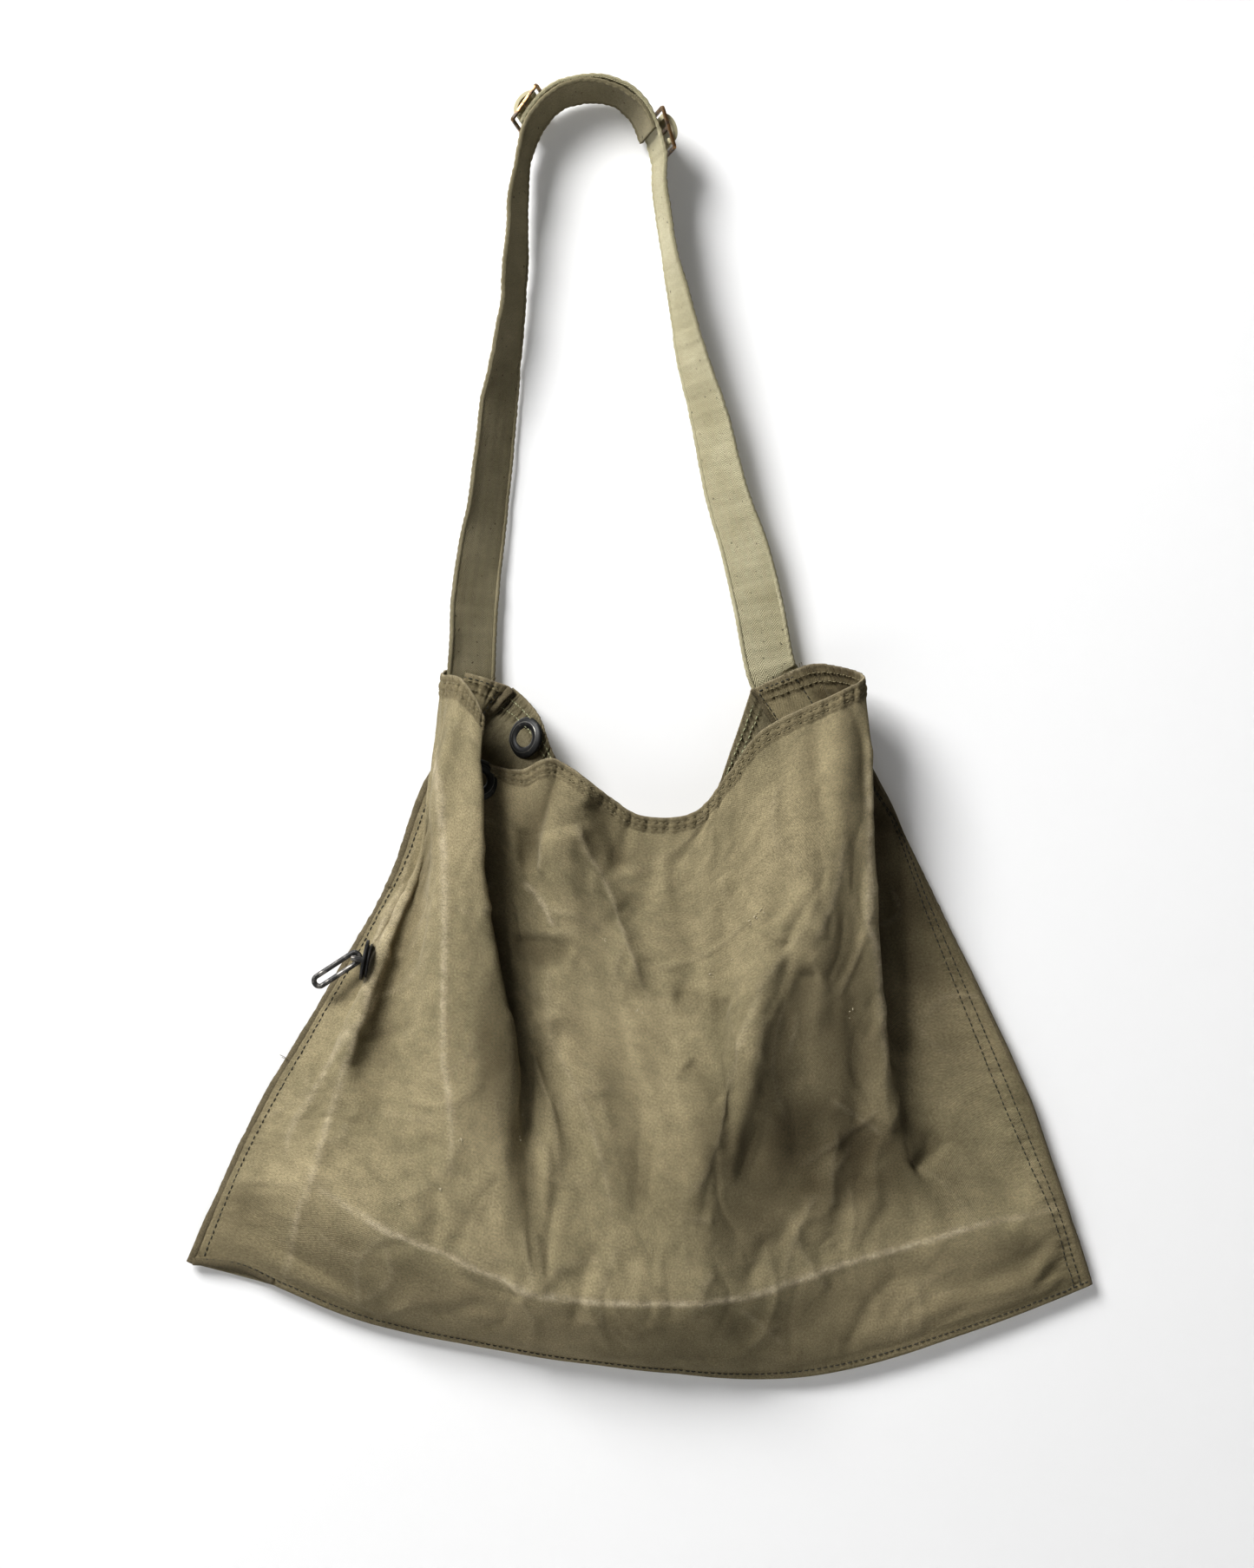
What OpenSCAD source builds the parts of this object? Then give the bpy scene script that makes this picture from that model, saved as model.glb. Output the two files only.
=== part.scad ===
// Canvas mail sack on a webbing shoulder strap, hanging from its strap.
// Millimetres. +X right, +Y back towards the wall, +Z up.
// The origin is where the strap hangs: under its crest, at the wall.
// Two cotton webbing halves overlap at the crest. Each ends in a three-bar slider
// that the other half runs through. The sack is a front cloth that wraps round both
// sides and the bottom, sewn to a flat back panel. A grommet in each panel's mouth
// passes over a swinging link on the left side, where a lock or seal closes the sack.

/* [Strap] */
// Width of the cotton webbing
webbing_w = 38; // [30:1:44]
// Thickness of the cotton webbing
webbing_t = 3; // [2:0.1:3.2]
// Height of the sack's sewn strap ends below the hang point
strap_drop = 438; // [430:1:446]

/* [Sliders] */
// Length of a slider along the strap
slider_l = 34; // [30:1:38]
// Width of a slider across the strap
slider_w = 46; // [44:1:48]
// Thickness of the slider's frame
slider_t = 2.4; // [1.6:0.1:2.8]

/* [Canvas] */
// Thickness of the canvas
canvas_t = 1.6; // [1:0.1:2]
// Distance between the two rows of stitching along the mouth
hem_rows = 6; // [4:0.5:8]
// Distance of the first row of stitching from an edge
stitch_inset = 5; // [3:0.5:6]
// Thickness of the sewing thread
thread_d = 1; // [0.6:0.1:1.4]

/* [Grommets] */
// Outer diameter of a grommet's flange
grommet_d = 32; // [28:1:34]
// Diameter of the hole through a grommet
grommet_throat = 14; // [12:0.5:15]

/* [Lock staple] */
// Diameter of the staple's round base plate
plate_d = 31; // [26:1:34]
// Diameter of the link's steel wire
wire_d = 4; // [3:0.1:4.2]
// Length of the link outside
link_l = 44; // [36:1:48]

/* [Smoothness] */
// Steps between two neighbouring guide lines of the cloth
cloth_steps = 3; // [2:1:4]

/* [Hidden] */

olive = "#8a8560";
khaki = "#7d7752";
webbing_colour = "#97946c";
thread_colour = "#4a4430";
steel = "#3a3a3c";
bronze = "#6e5a3c";

$fn = 48;
eps = 0.01;

// Guide lines of the front cloth, from the left back seam round the left side, across
// the front and round the right side to the right back seam. Each row is one level of
// the cloth, from the mouth down to the bottom seam; each point is x, y, z.
front_rows = [
  // mouth edge
  [[-60, -17, -447], [-82, -21, -439], [-105, -16, -434], [-109, -32, -438],
   [-93, -54, -443], [-78, -67, -472], [-100, -40, -490], [-76, -36, -505],
   [-50, -44, -510], [-24, -56, -502], [15, -52, -529], [42, -46, -545],
   [81, -46, -542], [107, -55, -512], [132, -65, -480], [184, -69, -454],
   [206, -58, -442], [197, -36, -434], [171, -25, -430], [149, -21, -438],
   [127, -15, -448]],
  // below the hem
  [[-118, -10, -516], [-100, -20, -514], [-121, -24, -520], [-117, -38, -520],
   [-108, -62, -519], [-81, -72, -525], [-98, -38, -535], [-70, -38, -550],
   [-46, -40, -570], [-28, -58, -566], [4, -50, -585], [36, -47, -600],
   [80, -50, -598], [112, -61, -573], [143, -71, -545], [186, -76, -520],
   [211, -60, -514], [215, -36, -511], [220, -16, -512], [194, -10, -512],
   [168, -8, -512]],
  // a quarter down
  [[-150, -7, -598], [-137, -12, -600], [-140, -22, -600], [-131, -28, -600],
   [-106, -70, -600], [-78, -76, -602], [-84, -34, -606], [-60, -38, -613],
   [-42, -38, -630], [-15, -50, -640], [18, -53, -650], [52, -52, -660],
   [92, -53, -655], [128, -66, -636], [167, -82, -622], [195, -66, -611],
   [213, -56, -604], [223, -18, -601], [260, -10, -600], [232, -7, -600],
   [205, -7, -600]],
  // half way down
  [[-208, -7, -700], [-187, -22, -703], [-178, -36, -700], [-154, -31, -702],
   [-106, -70, -700], [-60, -76, -704], [-56, -42, -708], [-43, -44, -713],
   [-26, -42, -722], [8, -49, -735], [40, -55, -745], [72, -56, -750],
   [105, -60, -745], [126, -82, -727], [160, -66, -715], [196, -54, -708],
   [221, -46, -700], [236, -15, -700], [308, -9, -700], [278, -7, -700],
   [250, -7, -700]],
  // above the crease
  [[-245, -7, -762], [-214, -26, -764], [-191, -34, -762], [-160, -37, -766],
   [-106, -66, -775], [-64, -70, -785], [-46, -52, -795], [-28, -54, -802],
   [-4, -51, -808], [24, -53, -815], [50, -57, -820], [80, -68, -822],
   [106, -60, -818], [143, -44, -810], [180, -29, -800], [212, -24, -790],
   [236, -26, -782], [258, -13, -775], [337, -9, -765], [306, -7, -766],
   [276, -7, -767]],
  // worn crease along the bottom edge of the front
  [[-272, -7, -817], [-244, -26, -818], [-213, -43, -822], [-174, -50, -842],
   [-120, -59, -864], [-68, -63, -882], [-40, -63, -892], [-18, -62, -900],
   [6, -60, -905], [34, -60, -907], [62, -60, -906], [92, -60, -903],
   [122, -48, -897], [156, -38, -887], [192, -30, -876], [228, -26, -866],
   [260, -24, -860], [306, -20, -852], [366, -10, -848], [335, -7, -850],
   [304, -7, -852]],
  // bottom seam
  [[-303, -7, -889], [-268, -9, -892], [-232, -10, -908], [-184, -10, -928],
   [-136, -10, -941], [-84, -10, -951], [-56, -10, -956], [-26, -10, -961],
   [6, -10, -965], [38, -10, -969], [70, -10, -972], [102, -10, -975],
   [134, -10, -976], [168, -10, -974], [202, -10, -968], [236, -10, -959],
   [272, -10, -947], [324, -9, -929], [384, -8, -905], [351, -7, -916],
   [318, -7, -928]]];

// Guide lines of the back panel, from the left back seam to the right one.
back_rows = [
  [[-58, -11, -447], [-47, -19, -457], [-36, -33, -472], [-26, -32, -498],
   [-6, -22, -535], [25, -14, -562], [60, -9, -565], [92, -7, -538],
   [111, -8, -490], [125, -11, -448]],
  [[-116, -5, -516], [-92, -7, -520], [-68, -23, -528], [-44, -26, -542],
   [-16, -15, -568], [18, -6, -592], [58, -12, -600], [100, -4, -585],
   [136, -9, -548], [166, -4, -512]],
  [[-150, -3, -598], [-118, -10, -604], [-84, -18, -612], [-48, -15, -624],
   [-10, -5, -640], [30, -10, -650], [70, -14, -652], [116, -4, -640],
   [160, -8, -620], [203, -3, -600]],
  [[-208, -3, -700], [-162, -10, -704], [-116, -15, -712], [-70, -10, -722],
   [-22, -4, -734], [26, -8, -742], [76, -12, -744], [130, -4, -734],
   [190, -6, -716], [248, -3, -700]],
  [[-245, -3, -762], [-190, -8, -770], [-136, -11, -782], [-82, -8, -796],
   [-28, -4, -808], [28, -6, -816], [86, -8, -818], [148, -4, -808],
   [212, -5, -788], [274, -3, -767]],
  [[-272, -3, -817], [-212, -6, -832], [-152, -6, -854], [-92, -5, -874],
   [-32, -4, -890], [30, -4, -900], [94, -5, -902], [162, -4, -888],
   [234, -4, -868], [302, -3, -852]],
  [[-303, -3, -889], [-236, -4, -907], [-168, -4, -932], [-100, -4, -948],
   [-32, -4, -960], [36, -4, -969], [104, -4, -975], [176, -4, -973],
   [250, -4, -954], [316, -3, -928]]];

// Where the strap's centre line runs: x, y, z and its twist in degrees. At no twist the
// webbing stands edge-on to the front; the twist leans its front edge outwards.
left_route = [
  [-89, -15, -431, 68], [-86, -14, -375, 64], [-77, -15, -310, 54],
  [-68, -17, -235, 42], [-58, -21, -160, 26], [-54, -23, -115, 22],
  [-53, -24, -77, 20], [-50, -24, -48, 14], [-44, -24, -27, 14], [-36, -24, -13, 14],
  [-24, -24, -1, 14], [-10, -24, 4.5, 15], [5, -24, 6.5, 15], [20, -24, 3.5, 14],
  [32, -24, -4, 14], [40, -24, -14, 14], [46, -24, -28, 14]];
right_route = [
  [139, -13, -431, 84], [130, -14, -385, 80], [119, -15, -340, 70],
  [106, -16, -300, 58], [92, -18, -240, 44], [80, -21, -199, 34], [71, -23, -159, 22],
  [62, -24, -119, 14], [57, -24, -85, 14], [54, -24, -62, 14], [51, -24, -46, 14],
  [46, -24, -28, 14], [40, -24, -14, 14], [32, -24, -4, 14], [20, -24, 3.5, 14],
  [5, -24, 6.5, 15], [-10, -24, 4.5, 15], [-24, -24, -1, 14], [-36, -24, -13, 14],
  [-43, -24, -25, 14]];
// Number of points of right_route before the webbing rises over the left half
right_lift_start = 10;
layer_gap = webbing_t + 0.7;
grommet_hole_d = grommet_throat + 3.2;

// Sewn strap ends on the outside of the side walls
left_tail_route = [[-90, -15, -strap_drop - 5, 68], [-93, -13, -462, 70],
                   [-98, -11, -486, 74]];
right_tail_route = [[147, -10, -strap_drop - 8, 84], [160, -8, -465, 86],
                    [174, -6, -488, 88]];

// Slider seats: centre on the strap, direction along the strap, and twist
slider_twist = 14;
slider_lift = 8.2;
left_slider_at = [-37, -24, -14];
left_slider_dir = [0.571, 0, 0.821];
right_slider_at = [48.5, -24, -29];
right_slider_dir = [-0.29, 0, 0.957];

// Grommets: centre and the direction that they face
back_grommet_at = [-47, -28.5, -486];
back_grommet_dir = [-0.61, -0.78, 0.15];
front_grommet_at = [-83, -39.5, -518];
front_grommet_dir = [0.28, -0.955, 0.1];

// Lock staple on the left side
staple_at = [-168, -26, -655];
staple_dir = [-0.982, 0, 0.19];
// Height of the bridge bar's middle above the cloth, and its radius
hook_lift = 9.5;
bar_r = 1.6;
post_r = 2.1;
link_angle = 33;

function unit(v) = v / norm(v);
function at_end(list, i) = list[min(max(i, 0), len(list) - 1)];
function bend(a, b, c, d, t) =
  0.5 * (2 * b + (c - a) * t + (2 * a - 5 * b + 4 * c - d) * t * t
         + (3 * b - a - 3 * c + d) * t * t * t);
// Point on a smooth curve through a list of points, t from 0 to the last index
function along(list, t) =
  let (i = min(floor(t), len(list) - 2))
  bend(at_end(list, i - 1), list[i], list[i + 1], at_end(list, i + 2), t - i);
// Point on a cloth given by rows of guide points
function on_cloth(rows, u, v) = along([for (row = rows) along(row, u)], v);
function cloth_normal(rows, u, v) =
  let (last_u = len(rows[0]) - 1, last_v = len(rows) - 1, d = 0.05,
       across = on_cloth(rows, min(u + d, last_u), v) - on_cloth(rows, max(u - d, 0), v),
       down = on_cloth(rows, u, min(v + d, last_v)) - on_cloth(rows, u, max(v - d, 0)))
  unit(cross(across, down));

// ---- solids swept or lofted from the curves ----
// Closed shell of the given thickness round a grid of cloth points
module shell(rows, u_from, u_to, thickness) {
  nu = round((u_to - u_from) * cloth_steps);
  nv = (len(rows) - 1) * cloth_steps;
  side = (nu + 1) * (nv + 1);
  us = [for (i = [0:nu]) u_from + (u_to - u_from) * i / nu];
  vs = [for (j = [0:nv]) j / cloth_steps];
  middle = [for (v = vs) for (u = us) on_cloth(rows, u, v)];
  lift = [for (v = vs) for (u = us) cloth_normal(rows, u, v) * thickness / 2];
  points = concat([for (k = [0:side - 1]) middle[k] + lift[k]],
                  [for (k = [0:side - 1]) middle[k] - lift[k]]);
  rim = concat([for (i = [0:nu]) i],
               [for (j = [1:nv]) j * (nu + 1) + nu],
               [for (i = [1:nu]) nv * (nu + 1) + nu - i],
               [for (j = [1:nv - 1]) (nv - j) * (nu + 1)]);
  faces = concat(
    [for (j = [0:nv - 1]) for (i = [0:nu - 1])
      let (a = j * (nu + 1) + i, b = a + 1, c = a + nu + 2, d = a + nu + 1)
      each [[a, b, c], [a, c, d]]],
    [for (j = [0:nv - 1]) for (i = [0:nu - 1])
      let (a = side + j * (nu + 1) + i, b = a + 1, c = a + nu + 2, d = a + nu + 1)
      each [[a, c, b], [a, d, c]]],
    [for (k = [0:len(rim) - 1])
      let (a = rim[k], b = rim[(k + 1) % len(rim)])
      each [[a, a + side, b + side], [a, b + side, b]]]);
  polyhedron(points, faces, convexity = 10);
}

// Frame of a strap at a route point: point, direction across and direction outwards
function strap_frame(route, t, lift) =
  let (here = along(route, t), d = 0.04,
       step = along(route, min(t + d, len(route) - 1)) - along(route, max(t - d, 0)),
       ahead = unit([step.x, step.y, step.z]),
       outward = unit([-ahead.z, 0, ahead.x]),
       facing = route[0].x > 0 ? -outward : outward,
       lean = unit(cos(here[3]) * [0, -1, 0] + sin(here[3]) * facing),
       across = unit(lean - ahead * (lean * ahead)),
       normal = cross(across, ahead) * (route[0].x > 0 ? -1 : 1))
  [[here.x, here.y, here.z] + normal * lift, across, normal];

// Rise of the right half from the strap's own line to its outer layer
function layer_lift(t) = layer_gap * min(max(t - right_lift_start + 1, 0), 1);

// Flat webbing along a route
module webbing(route, rising) {
  n = (len(route) - 1) * 2;
  frames = [for (k = [0:n]) strap_frame(route, k / 2, rising ? layer_lift(k / 2) : 0)];
  points = [for (f = frames)
    each [f[0] + f[1] * webbing_w / 2 + f[2] * webbing_t / 2,
          f[0] - f[1] * webbing_w / 2 + f[2] * webbing_t / 2,
          f[0] - f[1] * webbing_w / 2 - f[2] * webbing_t / 2,
          f[0] + f[1] * webbing_w / 2 - f[2] * webbing_t / 2]];
  ring_sweep(points, 4, n + 1, route[0].x > 0);
}

// Closed sweep of rings of points; flip turns the faces round
module ring_sweep(points, sides, rings, flip) {
  walls = [for (k = [0:rings - 2]) for (s = [0:sides - 1])
    let (a = k * sides + s, b = k * sides + (s + 1) % sides,
         c = b + sides, d = a + sides)
    each [[a, c, b], [a, d, c]]];
  first = [for (s = [0:sides - 1]) s];
  last = [for (s = [0:sides - 1]) rings * sides - 1 - s];
  faces = concat(walls, [first], [last]);
  polyhedron(points, flip ? [for (f = faces) [for (i = [len(f) - 1:-1:0]) f[i]]] : faces,
             convexity = 10);
}

// Round thread along a list of points
module thread(path, diameter) {
  sides = 6;
  n = len(path);
  dirs = [for (k = [0:n - 1]) unit(path[min(k + 1, n - 1)] - path[max(k - 1, 0)])];
  ups = [for (d = dirs) abs(d.y) < 0.8 ? [0, 1, 0] : [1, 0, 0]];
  points = [for (k = [0:n - 1]) for (s = [0:sides - 1])
    let (a = unit(cross(ups[k], dirs[k])), b = cross(dirs[k], a), t = 360 * s / sides)
    path[k] + (a * cos(t) + b * sin(t)) * diameter / 2];
  ring_sweep(points, sides, n, false);
}

// Places children with their +Z along a direction
module facing(at, dir) {
  azimuth = atan2(dir.y, dir.x);
  polar = acos(dir.z / norm(dir));
  translate(at) rotate([0, polar, azimuth]) children();
}

// ---- strap ----
module strap_left_half() {
  color(webbing_colour) webbing(left_route, false);
}

module strap_right_half() {
  color(webbing_colour) webbing(right_route, true);
}

// Puts children on a slider's seat: X along the strap, Y across it, Z outwards
module on_slider(at, dir) {
  turn = atan2(dir.z, dir.x);
  translate(at) rotate([0, -turn, 0]) rotate([-slider_twist, 0, 0])
    translate([0, 0, slider_lift]) children();
}

module rounded_plate(length, width, radius) {
  square([length - 2 * radius, width], center = true);
  square([length, width - 2 * radius], center = true);
  for (sx = [-1, 1]) for (sy = [-1, 1])
    translate([sx * (length / 2 - radius), sy * (width / 2 - radius)])
      circle(radius);
}

// Flat frame with a centre bar and two slots
module slider_frame() {
  bar = 2.6;
  slot = (slider_l - 3 * bar) / 2;
  linear_extrude(slider_t, center = true) difference() {
    rounded_plate(slider_l, slider_w, 3);
    for (s = [-1, 1]) translate([s * (slot + bar) / 2, 0])
      rounded_plate(slot, webbing_w + 2.4, 0.8);
  }
}

// Stretch of webbing that rises through one slot, over the centre bar and down again
module slider_loop() {
  outer_rise = 7.4;
  inner_rise = 4.5;
  half_span = 12;
  below_plate = slider_t / 2 + 0.4;
  rotate([90, 0, 0]) linear_extrude(webbing_w - 1, center = true)
    intersection() {
      difference() {
        scale([1.55, 1]) circle(outer_rise);
        scale([1.72, 1]) circle(inner_rise);
      }
      translate([-half_span, -below_plate]) square([2 * half_span, half_span]);
    }
}

module left_slider_frame() {
  color(bronze) on_slider(left_slider_at, left_slider_dir) slider_frame();
}

module left_slider_loop() {
  color(webbing_colour) on_slider(left_slider_at, left_slider_dir) slider_loop();
}

module right_slider_frame() {
  color(bronze) on_slider(right_slider_at, -right_slider_dir) slider_frame();
}

module right_slider_loop() {
  color(webbing_colour) on_slider(right_slider_at, -right_slider_dir) slider_loop();
}

// ---- canvas ----
module grommet_hole(at, dir) {
  facing(at, dir) cylinder(h = 16, d = grommet_hole_d, center = true);
}

module front_cloth() {
  color(olive) difference() {
    shell(front_rows, 0, len(front_rows[0]) - 1, canvas_t);
    grommet_hole(front_grommet_at, front_grommet_dir);
  }
}

module back_panel() {
  color(khaki) difference() {
    shell(back_rows, 0, len(back_rows[0]) - 1, canvas_t);
    grommet_hole(back_grommet_at, back_grommet_dir);
  }
}

module left_strap_tail() {
  color(webbing_colour) webbing(left_tail_route, false);
}

module right_strap_tail() {
  color(webbing_colour) webbing(right_tail_route, false);
}

// Box of stitching round a sewn strap end
module tail_box(route) {
  top = strap_frame(route, 0.25, 0);
  low = strap_frame(route, 1.9, 0);
  reach = webbing_w / 2 - 4;
  out = [0, -2, 0];
  thread([top[0] - top[1] * reach, top[0] + top[1] * reach,
          low[0] + low[1] * reach, low[0] - low[1] * reach,
          top[0] - top[1] * (reach - 1.5) - [0, 0, 1.5]], thread_d);
}

module left_tail_stitching() {
  color(thread_colour) tail_box(left_tail_route);
}

module right_tail_stitching() {
  color(thread_colour) tail_box(right_tail_route);
}

// Thread along a level of a cloth, a distance below the mouth edge
module row_across(rows, u_from, u_to, below, side) {
  steps = round((u_to - u_from) * 2);
  thread([for (k = [0:steps])
    let (u = u_from + (u_to - u_from) * k / steps,
         drop = norm(on_cloth(rows, u, 1) - on_cloth(rows, u, 0)), v = below / drop)
    on_cloth(rows, u, v) + cloth_normal(rows, u, v) * side * canvas_t / 2], thread_d);
}

// Thread down a side of a cloth, a distance in from its edge; inward is 1 or -1
module row_down(rows, u_edge, inward, inset, side) {
  steps = (len(rows) - 1) * 3;
  thread([for (k = [0:steps])
    let (v = 0.05 + (len(rows) - 1.1) * k / steps,
         wide = norm(on_cloth(rows, u_edge + inward, v) - on_cloth(rows, u_edge, v)),
         u = u_edge + inward * inset / wide)
    on_cloth(rows, u, v) + cloth_normal(rows, u, v) * side * canvas_t / 2], thread_d);
}

// Folded edge or tape along a seam: a flat strip standing over both cloths' edges
module edge_strip(path, width, thickness, across) {
  n = len(path);
  points = [for (p = path) each [
    p + across * width / 2 + [0, thickness / 2, 0],
    p - across * width / 2 + [0, thickness / 2, 0],
    p - across * width / 2 - [0, thickness / 2, 0],
    p + across * width / 2 - [0, thickness / 2, 0]]];
  ring_sweep(points, 4, n, false);
}

front_last = len(front_rows[0]) - 1;
bottom_row = len(front_rows) - 1;
right_edge = front_last - 2;

module front_hem_stitching() {
  color(thread_colour) for (below = [stitch_inset, stitch_inset + hem_rows])
    row_across(front_rows, 2.1, right_edge - 0.1, below, 1);
}

module back_hem_stitching() {
  color(thread_colour) for (below = [stitch_inset, stitch_inset + hem_rows])
    row_across(back_rows, 0.3, len(back_rows[0]) - 1.3, below, 1);
}

module left_seam_stitching() {
  color(thread_colour) row_down(front_rows, 0, 1, stitch_inset, 1);
}

module right_seam_stitching() {
  color(thread_colour) for (inset = [stitch_inset, stitch_inset + 4.5])
    row_down(front_rows, right_edge, -1, inset, 1);
}

module bottom_seam_stitching() {
  steps = (right_edge - 1) * 2;
  color(thread_colour) thread([for (k = [0:steps])
    let (u = 0.5 + (right_edge - 1) * k / steps)
    on_cloth(front_rows, u, bottom_row) + [0, 3, 4]], thread_d);
}

module left_seam_binding() {
  color(khaki) edge_strip([for (k = [0:24])
    on_cloth(front_rows, 0, 0.9 + (bottom_row - 0.95) * k / 24) + [-1.4, 2, 0]],
    2, 5.4, [1, 0, 0]);
}

module bottom_corner_binding() {
  color(thread_colour) edge_strip([for (k = [0:8])
    on_cloth(front_rows, 0.15 + 1.9 * k / 8, bottom_row) + [0, 2, -1.6]],
    2, 5.4, [0, 0, -1]);
}

// ---- grommets ----
// Barrel with a rolled flange on +Z
module grommet_barrel() {
  throat = grommet_throat / 2;
  outer = grommet_d / 2;
  color(steel) rotate_extrude($fn = 64) {
    translate([throat, -2.6]) square([1.2, 5]);
    difference() {
      translate([throat, 1]) square([outer - throat - 1.4, 1.6]);
      translate([throat - eps, 2.4 + eps]) square([0.8, 1]);
    }
    translate([outer - 1.5, 1.6]) circle(1.1);
  }
}

// Flat washer behind the cloth, round the barrel
module grommet_washer() {
  color(steel) translate([0, 0, -2.2]) linear_extrude(1) difference() {
    circle(d = grommet_d - 2);
    circle(d = grommet_hole_d);
  }
}

module back_grommet_barrel() {
  facing(back_grommet_at, back_grommet_dir) grommet_barrel();
}

module back_grommet_washer() {
  facing(back_grommet_at, back_grommet_dir) grommet_washer();
}

module front_grommet_barrel() {
  facing(front_grommet_at, front_grommet_dir) grommet_barrel();
}

module front_grommet_washer() {
  facing(front_grommet_at, front_grommet_dir) grommet_washer();
}

// ---- lock staple ----
module staple_plate() {
  color(steel) facing(staple_at, staple_dir) translate([0, 0, 0.9])
    linear_extrude(1.8) circle(d = plate_d);
}

// Bridge that the link hangs on: a bar along the front-to-back line on two feet
module staple_bar() {
  color(steel) facing(staple_at, staple_dir) {
    for (s = [-1, 1]) translate([0, s * 7, 2.7])
      cylinder(h = hook_lift - 2.7 + post_r, r = post_r);
    translate([0, 0, hook_lift]) rotate([90, 0, 0])
      cylinder(h = 14, r = bar_r, center = true);
  }
}

module staple_backing_plate() {
  color(steel) facing(staple_at, staple_dir) translate([0, 0, -2.1])
    linear_extrude(1.2) circle(d = plate_d - 5);
}

// Long narrow link of round wire, hooked over the bar
module staple_link() {
  half = wire_d / 2 + 2.1;
  length = link_l - 2 * half - wire_d;
  hook = staple_at + unit(staple_dir) * hook_lift;
  color(steel) translate(hook) rotate([0, 180 - link_angle, 0]) {
    for (s = [-1, 1]) translate([0, 0, s * half]) rotate([0, 90, 0])
      cylinder(h = length, d = wire_d);
    for (side = [0, 1]) translate([side * length, 0, 0]) rotate([90, 0, 0])
      rotate([0, 0, side == 1 ? -90 : 90])
        rotate_extrude(angle = 180) translate([half, 0]) circle(d = wire_d);
  }
}

strap_left_half();
strap_right_half();
left_slider_frame();
left_slider_loop();
right_slider_frame();
right_slider_loop();
front_cloth();
back_panel();
left_strap_tail();
right_strap_tail();
left_tail_stitching();
right_tail_stitching();
front_hem_stitching();
back_hem_stitching();
left_seam_stitching();
right_seam_stitching();
bottom_seam_stitching();
left_seam_binding();
bottom_corner_binding();
back_grommet_barrel();
back_grommet_washer();
front_grommet_barrel();
front_grommet_washer();
staple_plate();
staple_bar();
staple_backing_plate();
staple_link();
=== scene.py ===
"""Canvas mail sack on its webbing strap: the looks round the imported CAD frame."""
import math

import bpy
import numpy as np
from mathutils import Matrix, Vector


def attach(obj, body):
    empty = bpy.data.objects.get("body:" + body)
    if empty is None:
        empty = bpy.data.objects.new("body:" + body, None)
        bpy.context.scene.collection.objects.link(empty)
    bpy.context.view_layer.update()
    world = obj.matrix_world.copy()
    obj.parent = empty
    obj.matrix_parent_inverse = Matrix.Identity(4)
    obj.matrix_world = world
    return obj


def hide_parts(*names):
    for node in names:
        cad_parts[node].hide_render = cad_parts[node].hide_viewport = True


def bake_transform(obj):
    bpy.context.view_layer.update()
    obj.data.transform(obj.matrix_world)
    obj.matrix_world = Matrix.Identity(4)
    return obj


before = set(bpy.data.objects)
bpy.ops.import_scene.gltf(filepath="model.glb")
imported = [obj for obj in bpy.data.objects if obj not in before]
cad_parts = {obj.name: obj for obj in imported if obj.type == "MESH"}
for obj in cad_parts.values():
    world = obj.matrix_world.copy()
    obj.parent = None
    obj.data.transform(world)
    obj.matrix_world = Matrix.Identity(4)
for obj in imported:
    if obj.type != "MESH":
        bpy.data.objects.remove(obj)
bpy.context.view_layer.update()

MM = 0.001

# ---- driving sizes, in millimetres, as in the CAD model ----
WEBBING_W = 38.0
WEBBING_T = 3.0
CANVAS_T = 1.6
HEM_DEPTH = 14.0
HEM_STITCH_ROWS = (5.0, 10.5)
STITCH_LENGTH = 3.6
STITCH_PITCH = 4.8
PUCKER_PITCH = 6.4
THREAD_R = 0.45
CLOTH_STEP = 2.0
SEWN_REACH = 30.0
SEWN_FREEDOM = 0.12
FRONT_CLEARANCE = 9.0
HEM_STEP = 1.2

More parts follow.
